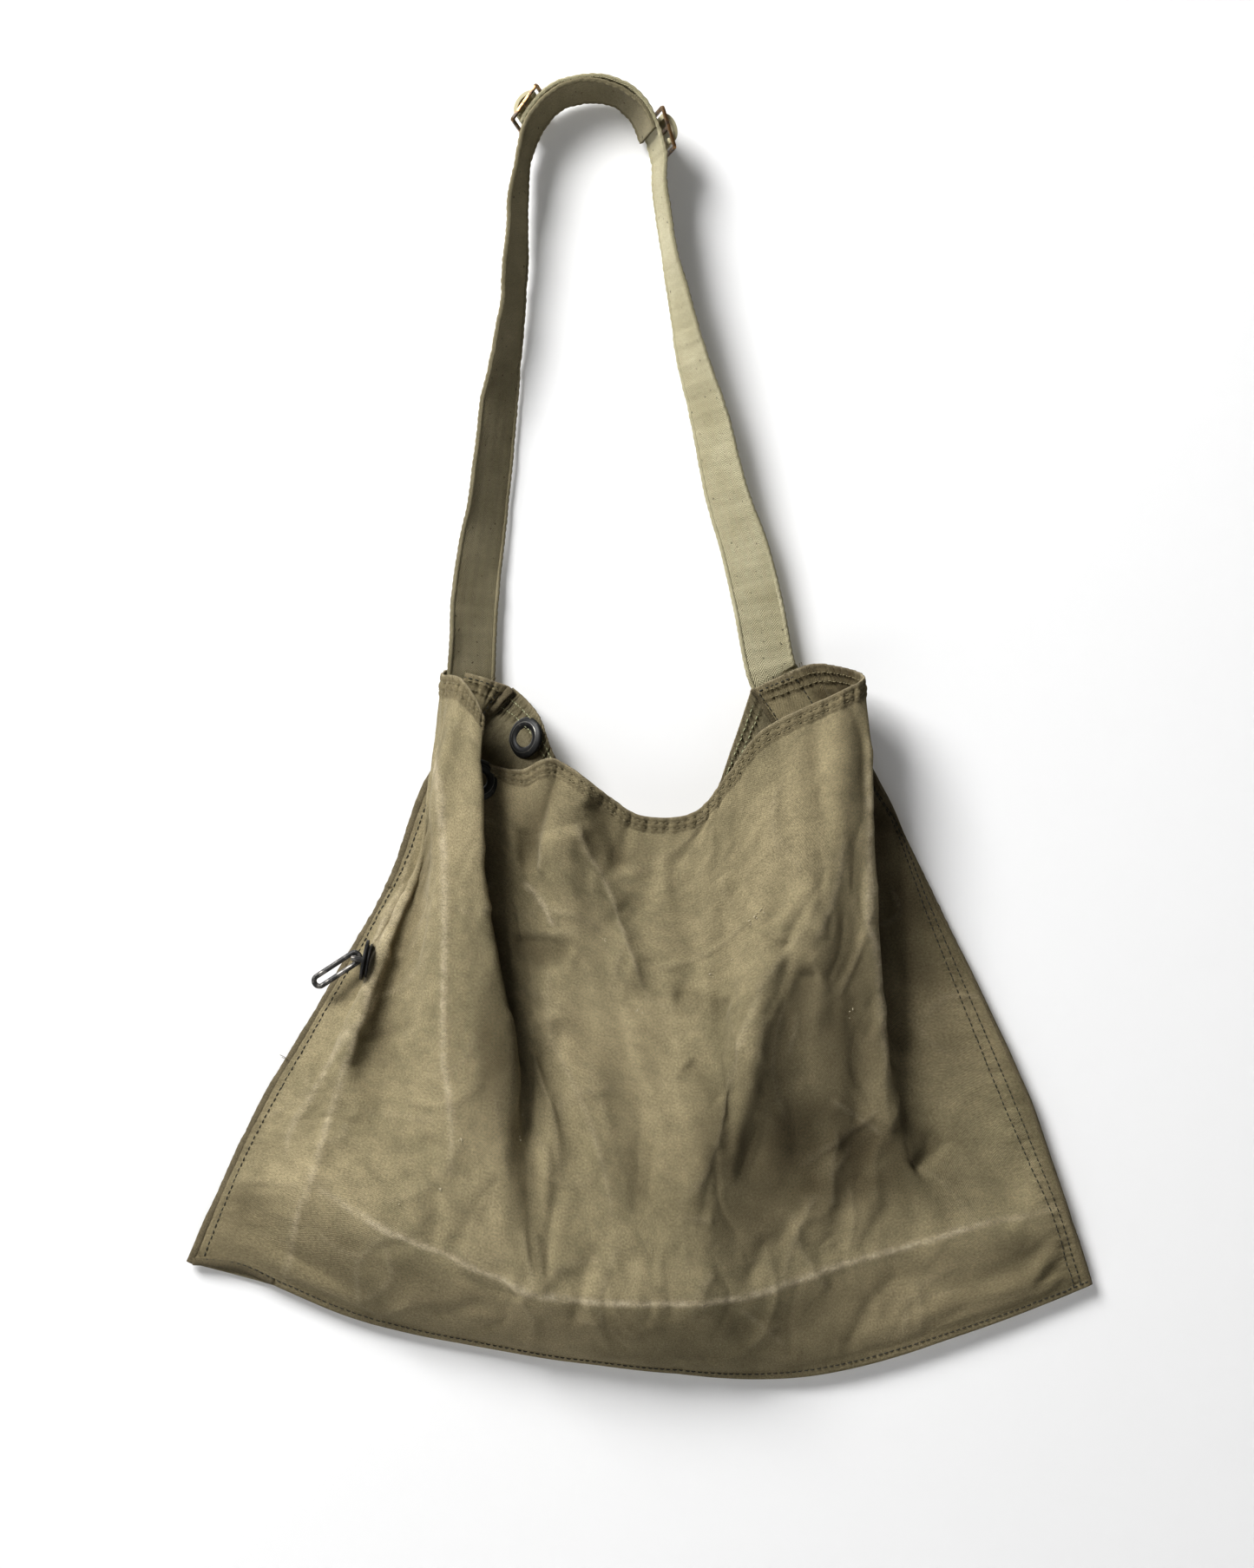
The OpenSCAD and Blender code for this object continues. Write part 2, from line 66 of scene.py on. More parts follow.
# Guide lines of the front cloth, in millimetres: rows from the mouth to the bottom seam,
# each from the left back seam, round the left side, across the front and round to the
# right back seam. Their places were read from the photo.
FRONT_ROWS = [
    # mouth edge
    [(-60, -17, -447), (-82, -21, -439), (-105, -16, -434), (-109, -32, -438),
     (-93, -54, -443), (-78, -67, -472), (-100, -40, -490), (-76, -36, -505),
     (-50, -44, -510), (-24, -56, -502), (15, -52, -529), (42, -46, -545),
     (81, -46, -542), (107, -55, -512), (132, -65, -480), (184, -69, -454),
     (206, -58, -442), (197, -36, -434), (171, -25, -430), (149, -21, -438),
     (127, -15, -448)],
    # below the hem
    [(-118, -10, -516), (-100, -20, -514), (-121, -24, -520), (-117, -38, -520),
     (-108, -62, -519), (-81, -72, -525), (-98, -38, -535), (-70, -38, -550),
     (-46, -40, -570), (-28, -58, -566), (4, -50, -585), (36, -47, -600),
     (80, -50, -598), (112, -61, -573), (143, -71, -545), (186, -76, -520),
     (211, -60, -514), (215, -36, -511), (220, -16, -512), (194, -10, -512),
     (168, -8, -512)],
    # a quarter down
    [(-150, -7, -598), (-137, -12, -600), (-140, -22, -600), (-131, -28, -600),
     (-106, -70, -600), (-78, -76, -602), (-84, -34, -606), (-60, -38, -613),
     (-42, -38, -630), (-15, -50, -640), (18, -53, -650), (52, -52, -660),
     (92, -53, -655), (128, -66, -636), (167, -82, -622), (195, -66, -611),
     (213, -56, -604), (223, -18, -601), (260, -10, -600), (232, -7, -600),
     (205, -7, -600)],
    # half way down
    [(-208, -7, -700), (-187, -22, -703), (-178, -36, -700), (-154, -31, -702),
     (-106, -70, -700), (-60, -76, -704), (-56, -42, -708), (-43, -44, -713),
     (-26, -42, -722), (8, -49, -735), (40, -55, -745), (72, -56, -750),
     (105, -60, -745), (126, -82, -727), (160, -66, -715), (196, -54, -708),
     (221, -46, -700), (236, -15, -700), (308, -9, -700), (278, -7, -700),
     (250, -7, -700)],
    # above the crease
    [(-245, -7, -762), (-214, -26, -764), (-191, -34, -762), (-160, -37, -766),
     (-106, -66, -775), (-64, -70, -785), (-46, -52, -795), (-28, -54, -802),
     (-4, -51, -808), (24, -53, -815), (50, -57, -820), (80, -68, -822),
     (106, -60, -818), (143, -44, -810), (180, -29, -800), (212, -24, -790),
     (236, -26, -782), (258, -13, -775), (337, -9, -765), (306, -7, -766),
     (276, -7, -767)],
    # worn crease along the bottom edge of the front
    [(-272, -7, -817), (-244, -26, -818), (-213, -43, -822), (-174, -50, -842),
     (-120, -59, -864), (-68, -63, -882), (-40, -63, -892), (-18, -62, -900),
     (6, -60, -905), (34, -60, -907), (62, -60, -906), (92, -60, -903),
     (122, -48, -897), (156, -38, -887), (192, -30, -876), (228, -26, -866),
     (260, -24, -860), (306, -20, -852), (366, -10, -848), (335, -7, -850),
     (304, -7, -852)],
    # bottom seam
    [(-303, -7, -889), (-268, -9, -892), (-232, -10, -908), (-184, -10, -928),
     (-136, -10, -941), (-84, -10, -951), (-56, -10, -956), (-26, -10, -961),
     (6, -10, -965), (38, -10, -969), (70, -10, -972), (102, -10, -975),
     (134, -10, -976), (168, -10, -974), (202, -10, -968), (236, -10, -959),
     (272, -10, -947), (324, -9, -929), (384, -8, -905), (351, -7, -916),
     (318, -7, -928)],
]

# Guide lines of the back panel, from the left back seam to the right one
BACK_ROWS = [
    [(-58, -11, -447), (-47, -19, -457), (-36, -33, -472), (-26, -32, -498),
     (-6, -22, -535), (25, -14, -562), (60, -9, -565), (92, -7, -538),
     (111, -8, -490), (125, -11, -448)],
    [(-116, -5, -516), (-92, -7, -520), (-68, -23, -528), (-44, -26, -542),
     (-16, -15, -568), (18, -6, -592), (58, -12, -600), (100, -4, -585),
     (136, -9, -548), (166, -4, -512)],
    [(-150, -3, -598), (-118, -10, -604), (-84, -18, -612), (-48, -15, -624),
     (-10, -5, -640), (30, -10, -650), (70, -14, -652), (116, -4, -640),
     (160, -8, -620), (203, -3, -600)],
    [(-208, -3, -700), (-162, -10, -704), (-116, -15, -712), (-70, -10, -722),
     (-22, -4, -734), (26, -8, -742), (76, -12, -744), (130, -4, -734),
     (190, -6, -716), (248, -3, -700)],
    [(-245, -3, -762), (-190, -8, -770), (-136, -11, -782), (-82, -8, -796),
     (-28, -4, -808), (28, -6, -816), (86, -8, -818), (148, -4, -808),
     (212, -5, -788), (274, -3, -767)],
    [(-272, -3, -817), (-212, -6, -832), (-152, -6, -854), (-92, -5, -874),
     (-32, -4, -890), (30, -4, -900), (94, -5, -902), (162, -4, -888),
     (234, -4, -868), (302, -3, -852)],
    [(-303, -3, -889), (-236, -4, -907), (-168, -4, -932), (-100, -4, -948),
     (-32, -4, -960), (36, -4, -969), (104, -4, -975), (176, -4, -973),
     (250, -4, -954), (316, -3, -928)],
]

# Strap centre lines: x, y, z and twist in degrees, from the sewn end up over the crest
LEFT_ROUTE = [
    (-89, -15, -431, 68), (-86, -14, -375, 64), (-77, -15, -310, 54),
    (-68, -17, -235, 42), (-58, -21, -160, 26), (-54, -23, -115, 22),
    (-53, -24, -77, 20), (-50, -24, -48, 14), (-44, -24, -27, 14), (-36, -24, -13, 14),
    (-24, -24, -1, 14), (-10, -24, 4.5, 15), (5, -24, 6.5, 15), (20, -24, 3.5, 14),
    (32, -24, -4, 14), (40, -24, -14, 14), (46, -24, -28, 14),
]
RIGHT_ROUTE = [
    (139, -13, -431, 84), (130, -14, -385, 80), (119, -15, -340, 70),
    (106, -16, -300, 58), (92, -18, -240, 44), (80, -21, -199, 34),
    (71, -23, -159, 22), (62, -24, -119, 14), (57, -24, -85, 14), (54, -24, -62, 14),
    (51, -24, -46, 14), (46, -24, -28, 14), (40, -24, -14, 14), (32, -24, -4, 14),
    (20, -24, 3.5, 14), (5, -24, 6.5, 15), (-10, -24, 4.5, 15), (-24, -24, -1, 14),
    (-36, -24, -13, 14), (-43, -24, -25, 14),
]
LEFT_TAIL = [(-90, -15, -443, 68), (-93, -13, -462, 70), (-98, -11, -486, 74)]
RIGHT_TAIL = [(147, -10, -446, 84), (160, -8, -465, 86), (174, -6, -488, 88)]
RIGHT_LIFT_START = 10
LAYER_GAP = WEBBING_T + 0.7


# ---- curves and grids ----
def catmull(points, t):
    """Points on a smooth curve through a list of points, t from 0 to the last index."""
    p = np.asarray(points, float)
    t = np.clip(np.asarray(t, float), 0, len(p) - 1)
    i = np.minimum(t.astype(int), len(p) - 2)
    f = (t - i).reshape((-1,) + (1,) * (p.ndim - 1))
    a, b = p[np.maximum(i - 1, 0)], p[i]
    c, d = p[i + 1], p[np.minimum(i + 2, len(p) - 1)]
    return 0.5 * (2 * b + (c - a) * f + (2 * a - 5 * b + 4 * c - d) * f * f
                  + (3 * b - a - 3 * c + d) * f ** 3)


def surface(rows, u, v):
    """Grid of points of a cloth, shape (len(v), len(u), 3), in millimetres."""
    across = np.stack([catmull(row, u) for row in rows])
    return catmull(across, v)


def even_steps(rows, step, axis):
    """Guide-line numbers that are evenly spaced along the cloth, and their distances."""
    last = (len(rows[0]) if axis == 1 else len(rows)) - 1
    fine = np.linspace(0, last, last * 24 + 1)
    if axis == 1:
        grid = surface(rows, fine, np.linspace(0, len(rows) - 1, 13))
        gaps = np.linalg.norm(np.diff(grid, axis=1), axis=2).mean(axis=0)
    else:
        grid = surface(rows, np.linspace(0, len(rows[0]) - 1, 25), fine)
        gaps = np.linalg.norm(np.diff(grid, axis=0), axis=2).mean(axis=1)
    along = np.concatenate([[0], np.cumsum(gaps)])
    count = max(4, round(along[-1] / step))
    wanted = np.linspace(0, along[-1], count + 1)
    return np.interp(wanted, along, fine), wanted


def distances(points):
    """Distance of each point of a line from its start, along the line."""
    steps = np.linalg.norm(np.diff(points, axis=0), axis=1)
    return np.concatenate([[0], np.cumsum(steps)])


def normals_of(grid):
    """Unit normals of a grid of points."""
    across = np.gradient(grid, axis=1)
    down = np.gradient(grid, axis=0)
    n = np.cross(across, down)
    return n / np.linalg.norm(n, axis=2, keepdims=True)


def link(obj):
    bpy.context.scene.collection.objects.link(obj)
    return obj


def grid_object(name, grid, u_mm, v_mm):
    """Mesh of quads over a grid of points in millimetres, with a UV map in metres."""
    nv, nu = grid.shape[:2]
    mesh = bpy.data.meshes.new(name)
    index = np.arange(nv * nu).reshape(nv, nu)
    quads = np.stack([index[:-1, :-1], index[1:, :-1], index[1:, 1:], index[:-1, 1:]],
                     axis=-1).reshape(-1, 4)
    mesh.from_pydata((grid.reshape(-1, 3) * MM).tolist(), [], quads.tolist())
    uv = mesh.uv_layers.new(name="cloth")
    flat = np.stack(np.meshgrid(u_mm, v_mm), axis=-1).reshape(-1, 2) * MM
    uv.data.foreach_set("uv", flat[quads.ravel()].ravel())
    mesh.polygons.foreach_set("use_smooth", [True] * len(mesh.polygons))
    mesh.update()
    return link(bpy.data.objects.new(name, mesh))


def point_attribute(obj, name, values):
    layer = obj.data.attributes.new(name, "FLOAT", "POINT")
    layer.data.foreach_set("value", np.asarray(values, float).ravel())


def apply_modifiers(obj):
    graph = bpy.context.evaluated_depsgraph_get()
    mesh = bpy.data.meshes.new_from_object(obj.evaluated_get(graph))
    old = obj.data
    obj.modifiers.clear()
    obj.data = mesh
    bpy.data.meshes.remove(old)
    return obj


def thicken(obj, thickness):
    solid = obj.modifiers.new("thickness", "SOLIDIFY")
    solid.thickness = thickness * MM
    solid.offset = 0
    solid.use_even_offset = False
    return apply_modifiers(obj)


# ---- camera and stage, in metres ----
CAMERA_AT = (0.0297, -2.4, -0.521)
FRAME_HEIGHT = 1.2047
SENSOR = 36.0
STAGE_HALF = 6.0
FLOOR_Z = -2.2
WALL_TOP = 4.0
WALL_Y = 0.001
LIT_POINT = (0.03, 0, -0.55)
WORLD_LIGHT = 0.015
BACKGROUND_GLOW = 0.45


def add_camera():
    camera = bpy.data.cameras.new("camera")
    camera.sensor_width = SENSOR
    camera.lens = SENSOR * -CAMERA_AT[1] / FRAME_HEIGHT
    obj = link(bpy.data.objects.new("camera", camera))
    obj.location = CAMERA_AT
    obj.rotation_euler = (math.radians(90), 0, 0)
    bpy.context.scene.camera = obj


def plain_material(name, colour, roughness):
    mat = bpy.data.materials.new(name)
    mat.use_nodes = True
    shader = mat.node_tree.nodes["Principled BSDF"]
    shader.inputs["Base Color"].default_value = (*colour, 1)
    shader.inputs["Roughness"].default_value = roughness
    return mat


def one_sided(mat):
    """Lets the back of a backdrop be seen through, so it never hides the sack."""
    tree = mat.node_tree
    output = tree.nodes["Material Output"]
    clear = tree.nodes.new("ShaderNodeBsdfTransparent")
    side = tree.nodes.new("ShaderNodeNewGeometry")
    either = tree.nodes.new("ShaderNodeMixShader")
    tree.links.new(side.outputs["Backfacing"], either.inputs[0])
    tree.links.new(tree.nodes["Principled BSDF"].outputs[0], either.inputs[1])
    tree.links.new(clear.outputs[0], either.inputs[2])
    tree.links.new(either.outputs[0], output.inputs["Surface"])


def add_stage():
    """A pale wall just behind the sack and a floor in front of it."""
    white = plain_material("stage_white", (0.68, 0.68, 0.68), 0.9)
    shader = white.node_tree.nodes["Principled BSDF"]
    shader.inputs["Emission Color"].default_value = (1, 1, 1, 1)
    shader.inputs["Emission Strength"].default_value = 0.05
    one_sided(white)
    foot = [(-STAGE_HALF, WALL_Y, FLOOR_Z), (STAGE_HALF, WALL_Y, FLOOR_Z)]
    top = [(STAGE_HALF, WALL_Y, WALL_TOP), (-STAGE_HALF, WALL_Y, WALL_TOP)]
    front_edge = [(STAGE_HALF, -STAGE_HALF, FLOOR_Z), (-STAGE_HALF, -STAGE_HALF, FLOOR_Z)]
    for name, corners, face in (("wall", foot + top, (0, 1, 2, 3)),
                                ("floor", foot + front_edge, (3, 2, 1, 0))):
        mesh = bpy.data.meshes.new(name)
        mesh.from_pydata(corners, [], [face])
        mesh.materials.append(white)
        link(bpy.data.objects.new(name, mesh))


def add_light(name, at, size, power, shadows=True):
    light = bpy.data.lights.new(name, "AREA")
    light.shape = "SQUARE"
    light.size = size
    light.energy = power
    light.use_shadow = shadows
    obj = link(bpy.data.objects.new(name, light))
    obj.visible_camera = False
    obj.location = at
    aim = Vector(LIT_POINT) - Vector(at)
    obj.rotation_euler = aim.to_track_quat("-Z", "Y").to_euler()


def add_lights():
    """Soft light from the upper left, and one behind the wall for views of the back."""
    add_light("key", (-1.85, -2.2, 1.8), 1.7, 195)
    add_light("fill", (1.2, -4.6, 0.2), 3.0, 4)
    add_light("behind", (-1.4, 3.0, 0.6), 2.4, 75, shadows=False)
    world = bpy.data.worlds.new("studio")
    world.use_nodes = True
    tree = world.node_tree
    background = tree.nodes["Background"]
    background.inputs["Color"].default_value = (1, 1, 1, 1)
    path = tree.nodes.new("ShaderNodeLightPath")
    strength = tree.nodes.new("ShaderNodeMath")
    strength.operation = "MULTIPLY_ADD"
    strength.inputs[1].default_value = BACKGROUND_GLOW
    strength.inputs[2].default_value = WORLD_LIGHT
    tree.links.new(path.outputs["Is Camera Ray"], strength.inputs[0])
    tree.links.new(strength.outputs[0], background.inputs["Strength"])
    bpy.context.scene.world = world
    view = bpy.context.scene.view_settings
    view.view_transform = "Standard"
    view.look = "Medium High Contrast"
    view.exposure = 0.26


# ---- a cloth laid over its guide lines ----
class Cloth:
    """A cloth's grid of points, with its distances along the fabric, in millimetres."""

    def __init__(self, rows, outward, seam):
        self.outward = outward
        self.seam = seam
        self.u, self.u_mm = even_steps(rows, CLOTH_STEP, 1)
        coarse, coarse_mm = even_steps(rows, CLOTH_STEP, 0)
        hem = np.arange(0, 2 * HEM_DEPTH, HEM_STEP)
        rest = np.arange(2 * HEM_DEPTH, coarse_mm[-1] - CLOTH_STEP / 2, CLOTH_STEP)
        self.v_mm = np.concatenate([hem, rest, coarse_mm[-1:]])
        self.v = np.interp(self.v_mm, coarse_mm, coarse)
        self.grid = surface(rows, self.u, self.v)
        self.wear = np.zeros(self.grid.shape[:2])
        # Darkening for real stains together with painted shade
        self.stain_and_shade = np.zeros(self.grid.shape[:2])
        self.last_row = len(rows) - 1

    def normals(self):
        return normals_of(self.grid) * self.outward

    def raise_by(self, height):
        self.grid = self.grid + self.normals() * height[..., None]

    def calm(self):
        """How freely the cloth may move: less near its edges, where it is sewn."""
        inward = np.minimum(self.u_mm, self.column_mm(self.seam) - self.u_mm)
        free = smooth(inward / SEWN_REACH)
        free = np.where(self.u > self.seam, 0, free)[None, :]
        free = free * smooth((self.v_mm[-1] - self.v_mm) / SEWN_REACH)[:, None]
        return SEWN_FREEDOM + (1 - SEWN_FREEDOM) * free

    def column_mm(self, column):
        return np.interp(column, self.u, self.u_mm)

    def row_mm(self, row):
        return np.interp(row, self.v, self.v_mm)

    def sample(self, values, u_mm, v_mm):
        """Values of the grid at places on the cloth."""
        i = np.interp(u_mm, self.u_mm, np.arange(len(self.u_mm)))
        j = np.interp(v_mm, self.v_mm, np.arange(len(self.v_mm)))
        i0 = np.minimum(i.astype(int), len(self.u_mm) - 2)
        j0 = np.minimum(j.astype(int), len(self.v_mm) - 2)
        fi, fj = (i - i0)[..., None], (j - j0)[..., None]
        top = values[j0, i0] * (1 - fi) + values[j0, i0 + 1] * fi
        low = values[j0 + 1, i0] * (1 - fi) + values[j0 + 1, i0 + 1] * fi
        return top * (1 - fj) + low * fj

    def build(self, name, material):
        obj = grid_object(name, self.grid, self.u_mm, self.v_mm)
        point_attribute(obj, "wear", np.clip(self.wear, 0, 1))
        point_attribute(obj, "stain_and_shade", np.clip(self.stain_and_shade, 0, 1))
        thicken(obj, CANVAS_T)
        obj.data.materials.append(material)
        return obj


# ---- folds ----
# Each fold of the front: height outwards, width on its left and right, how worn its crest
# is, the guide columns that it crosses, and its line as x, z seen straight from the front.
# A line that runs to the right has its "right" above it.
FRONT_FOLDS = [
    (2.6, 8, 5, 0.5, (0, 4.5), [(-140, -595), (-155, -630), (-175, -690), (-200, -775),
                               (-215, -825), (-225, -855), (-235, -910)]),
    (3.0, 9, 6, 0.45, (0, 4), [(-135, -570), (-145, -610), (-155, -635), (-170, -690),
                              (-185, -710), (-225, -780), (-235, -805)]),
    (2.4, 12, 10, 0.6, (2, 6), [(-120, -485), (-115, -510), (-110, -580), (-110, -655),
                                (-110, -725), (-105, -765), (-105, -815)]),
    (-5.0, 14, 12, 0, (2, 5), [(-115, -535), (-130, -580), (-150, -645), (-170, -715),
                               (-185, -750)]),
    (-7.0, 9, 9, 0, (6, 10), [(-15, -500), (-30, -525), (-40, -545), (-50, -590)]),
    (7.0, 24, 8, 0.35, (7, 12), [(-10, -550), (-5, -565), (15, -600), (30, -640),
                                 (45, -680)]),
    (-7.0, 12, 14, 0, (8, 12), [(5, -530), (15, -555), (30, -590)]),
    (-5.0, 12, 5, 0, (6, 11), [(-60, -640), (-35, -640), (-10, -650)]),
    (1.6, 5, 4, 0.2, (7, 10), [(-30, -615), (-10, -620), (10, -630)]),
    (1.8, 5, 4, 0.6, (6, 9), [(-50, -595), (-35, -610), (-25, -630)]),
    (9.0, 46, 15, 0.15, (10, 15.5), [(175, -620), (150, -655), (135, -675), (125, -710),
                                     (115, -740), (105, -775), (90, -815), (70, -840)]),
    (-9.0, 10, 12, 0, (16.3, 18), [(220, -490), (225, -560), (230, -640), (245, -730)]),
    (-7.0, 16, 34, 0, (10, 16), [(190, -635), (165, -670), (150, -700), (140, -735),
                                 (135, -770), (120, -810), (105, -840)]),
    (-2.6, 5, 5, 0.1, (12, 15), [(150, -655), (165, -665), (180, -665)]),
    (-3.5, 9, 6, 0, (10, 14), [(65, -680), (90, -685), (115, -690)]),
    (-3.5, 10, 7, 0, (10, 14), [(75, -730), (90, -745), (105, -760)]),
    (2.0, 6, 4, 0.18, (12, 16), [(185, -760), (205, -770), (225, -785)]),
    (2.0, 6, 4, 0.12, (12, 16), [(225, -765), (190, -790), (160, -810)]),
    (-7.0, 9, 7, 0, (14, 18), [(275, -785), (265, -800), (250, -815)]),
    (1.2, 5, 3, 0.6, (15, 17), [(215, -485), (215, -535), (215, -580), (215, -625),
                                (220, -645), (225, -690), (230, -745)]),
    (2.6, 8, 8, 0.9, (2, 18), [(-215, -825), (-180, -845), (-140, -865), (-80, -890),
                               (-25, -910), (50, -915), (115, -910), (180, -890),
                               (250, -870), (300, -855), (360, -845)]),
    (-3.0, 14, 14, 0, (9, 13), [(30, -600), (45, -640), (60, -690), (65, -740)]),
    (3.0, 16, 10, 0.2, (8, 12), [(-40, -700), (-10, -745), (10, -800), (20, -850)]),
    (-3.5, 12, 14, 0, (8, 12), [(-20, -690), (15, -740), (35, -800), (40, -855)]),
    (3.0, 14, 9, 0.3, (13, 16), [(195, -560), (190, -600), (175, -640)]),
]
# Dark patches of painted shade where the front turns from the light, partly soil: x, z, half
# width, half height, strength
SHADE_AND_SOIL = [(180, -805, 95, 55, 0.75), (200, -710, 34, 75, 0.5), (120, -850, 60, 30, 0.4),
        (-70, -720, 16, 60, 0.6), (14, -560, 18, 26, 0.5), (-36, -650, 26, 14, 0.45),
        (-160, -700, 14, 40, 0.5), (240, -690, 22, 60, 0.5), (0, -940, 220, 22, 0.4)]
# A fold deeper than the first gets painted shade, with some dirt, in its valley; one of the
# second depth is painted black
SHADED_FOLD_DEPTH = 3.0
BLACK_SHADE_DEPTH = 14.0
# Share of a fold's length over which each end dies away
FOLD_TAPER = 0.18
WRINKLES = 320
BACK_WRINKLES = 60
DENTS = 90


def beside_line(x, z, points):
    """Distance of places to a smooth line, the side they are on, and how far along."""
    parts = 6 * (len(points) - 1)
    line = catmull(points, np.linspace(0, len(points) - 1, parts + 1))
    best = np.full(x.shape, 1e9)
    side = np.zeros(x.shape)
    reached = np.zeros(x.shape)
    for i, (a, b) in enumerate(zip(line[:-1], line[1:])):
        d = b - a
        t = np.clip(((x - a[0]) * d[0] + (z - a[1]) * d[1]) / (d @ d), 0, 1)
        ex, ez = x - a[0] - t * d[0], z - a[1] - t * d[1]
        distance = np.hypot(ex, ez)
        near = distance < best
        best = np.where(near, distance, best)
        side = np.where(near, np.sign(d[0] * ez - d[1] * ex), side)
        reached = np.where(near, (i + t) / parts, reached)
    return best, side, reached


def smooth(t):
    t = np.clip(t, 0, 1)
    return t * t * (3 - 2 * t)


def fold(x, z, height, left, right, points):
    """Height and crest strength of one fold at places x, z."""
    far = 3.2 * max(left, right)
    line = np.asarray(points, float)
    close = ((x > line[:, 0].min() - far) & (x < line[:, 0].max() + far)
             & (z > line[:, 1].min() - far) & (z < line[:, 1].max() + far))
    raised, crest = np.zeros(x.shape), np.zeros(x.shape)
    if not close.any():
        return raised, crest
    distance, side, reached = beside_line(x[close], z[close], points)
    width = np.where(side > 0, right, left)
    ends = smooth(reached / FOLD_TAPER) * smooth((1 - reached) / FOLD_TAPER)
    sharp = 1.25 if height > 0 else 1.8
    raised[close] = height * ends * np.exp(-(distance / width) ** sharp)
    crest[close] = (0.25 + 0.75 * ends) * np.exp(-(distance / 2.2) ** 2)
    return raised, crest


def column_mask(cloth, first, last):
    """1 between two guide columns, easing off over half a column outside them."""
    mask = smooth((cloth.u - first) / 0.6 + 0.5) * smooth((last - cloth.u) / 0.6 + 0.5)
    return np.broadcast_to(mask, cloth.wear.shape)


def seen_from_front(grid):
    """Where the points seem to be on the wall behind, seen from the camera."""
    centre_x, centre_z, away = CAMERA_AT[0] / MM, CAMERA_AT[2] / MM, -CAMERA_AT[1] / MM
    spread = away / (away + grid[..., 1])
    return (centre_x + (grid[..., 0] - centre_x) * spread,
            centre_z + (grid[..., 2] - centre_z) * spread)


def add_folds(cloth, folds):
    x, z = seen_from_front(cloth.grid)
    total = np.zeros(x.shape)
    for height, left, right, worn, (first, last), points in folds:
        mask = column_mask(cloth, first, last)
        raised, crest = fold(x, z, height, left, right, points)
        total += raised * mask
        cloth.wear = np.maximum(cloth.wear, crest * mask * worn)
        # Painted shade, with some dirt, in the valleys of deep folds
        if height < -SHADED_FOLD_DEPTH:
            cloth.stain_and_shade = np.maximum(cloth.stain_and_shade, -raised * mask / BLACK_SHADE_DEPTH)
    cloth.raise_by(total)


def add_dents(cloth, count, seed):
    """Broad soft dents and bumps left by what the sack carried."""
    rng = np.random.default_rng(seed)
    u, v = np.meshgrid(cloth.u_mm, cloth.v_mm)
    total = np.zeros(u.shape)
    for _ in range(count):
        u0, v0 = rng.uniform(0, cloth.u_mm[-1]), rng.uniform(40, cloth.v_mm[-1] - 30)
        turn = rng.uniform(0, math.pi)
        along = (u - u0) * math.cos(turn) + (v - v0) * math.sin(turn)
        aside = (v - v0) * math.cos(turn) - (u - u0) * math.sin(turn)
        spread = (along / rng.uniform(18, 46)) ** 2 + (aside / rng.uniform(9, 20)) ** 2
        total += rng.uniform(0.8, 2.6) * rng.choice([1, -1]) * np.exp(-spread)
    cloth.raise_by(total * cloth.calm())


def add_wrinkles(cloth, count, seed, depth=1.0):
    """Short soft creases all over the cloth, most of them running down to the left."""
    rng = np.random.default_rng(seed)
    u, v = np.meshgrid(cloth.u_mm, cloth.v_mm)
    total = np.zeros(u.shape)
    for _ in range(count):
        middle = np.array([rng.uniform(0, cloth.u_mm[-1]), rng.uniform(20, cloth.v_mm[-1])])
        angle = math.radians(rng.normal(62, 34))
        length, width = rng.uniform(22, 90), rng.uniform(2.6, 8)
        height = rng.uniform(0.5, 2.0) * rng.choice([1, -1]) * width / 6
        bend = rng.normal(0, length / 9)
        ahead = np.array([math.cos(angle), -math.sin(angle)]) * length / 2
        aside = np.array([ahead[1], -ahead[0]]) / (length / 2) * bend
        points = [middle - ahead, middle + aside, middle + ahead]
        raised, crest = fold(u, v, height, width, width * rng.uniform(0.5, 1), points)
        total += raised
        if height > 0.7:
            cloth.wear = np.maximum(cloth.wear, crest * rng.uniform(0.02, 0.16))
    cloth.raise_by(total * cloth.calm() * depth)


# ---- settling ----
SETTLE_STEP = 7.0
SETTLE_FRAMES = 26
SETTLE_SPARE = 0.010
SETTLE_MOST = 5.0
HELD_INSIDE = 0.16


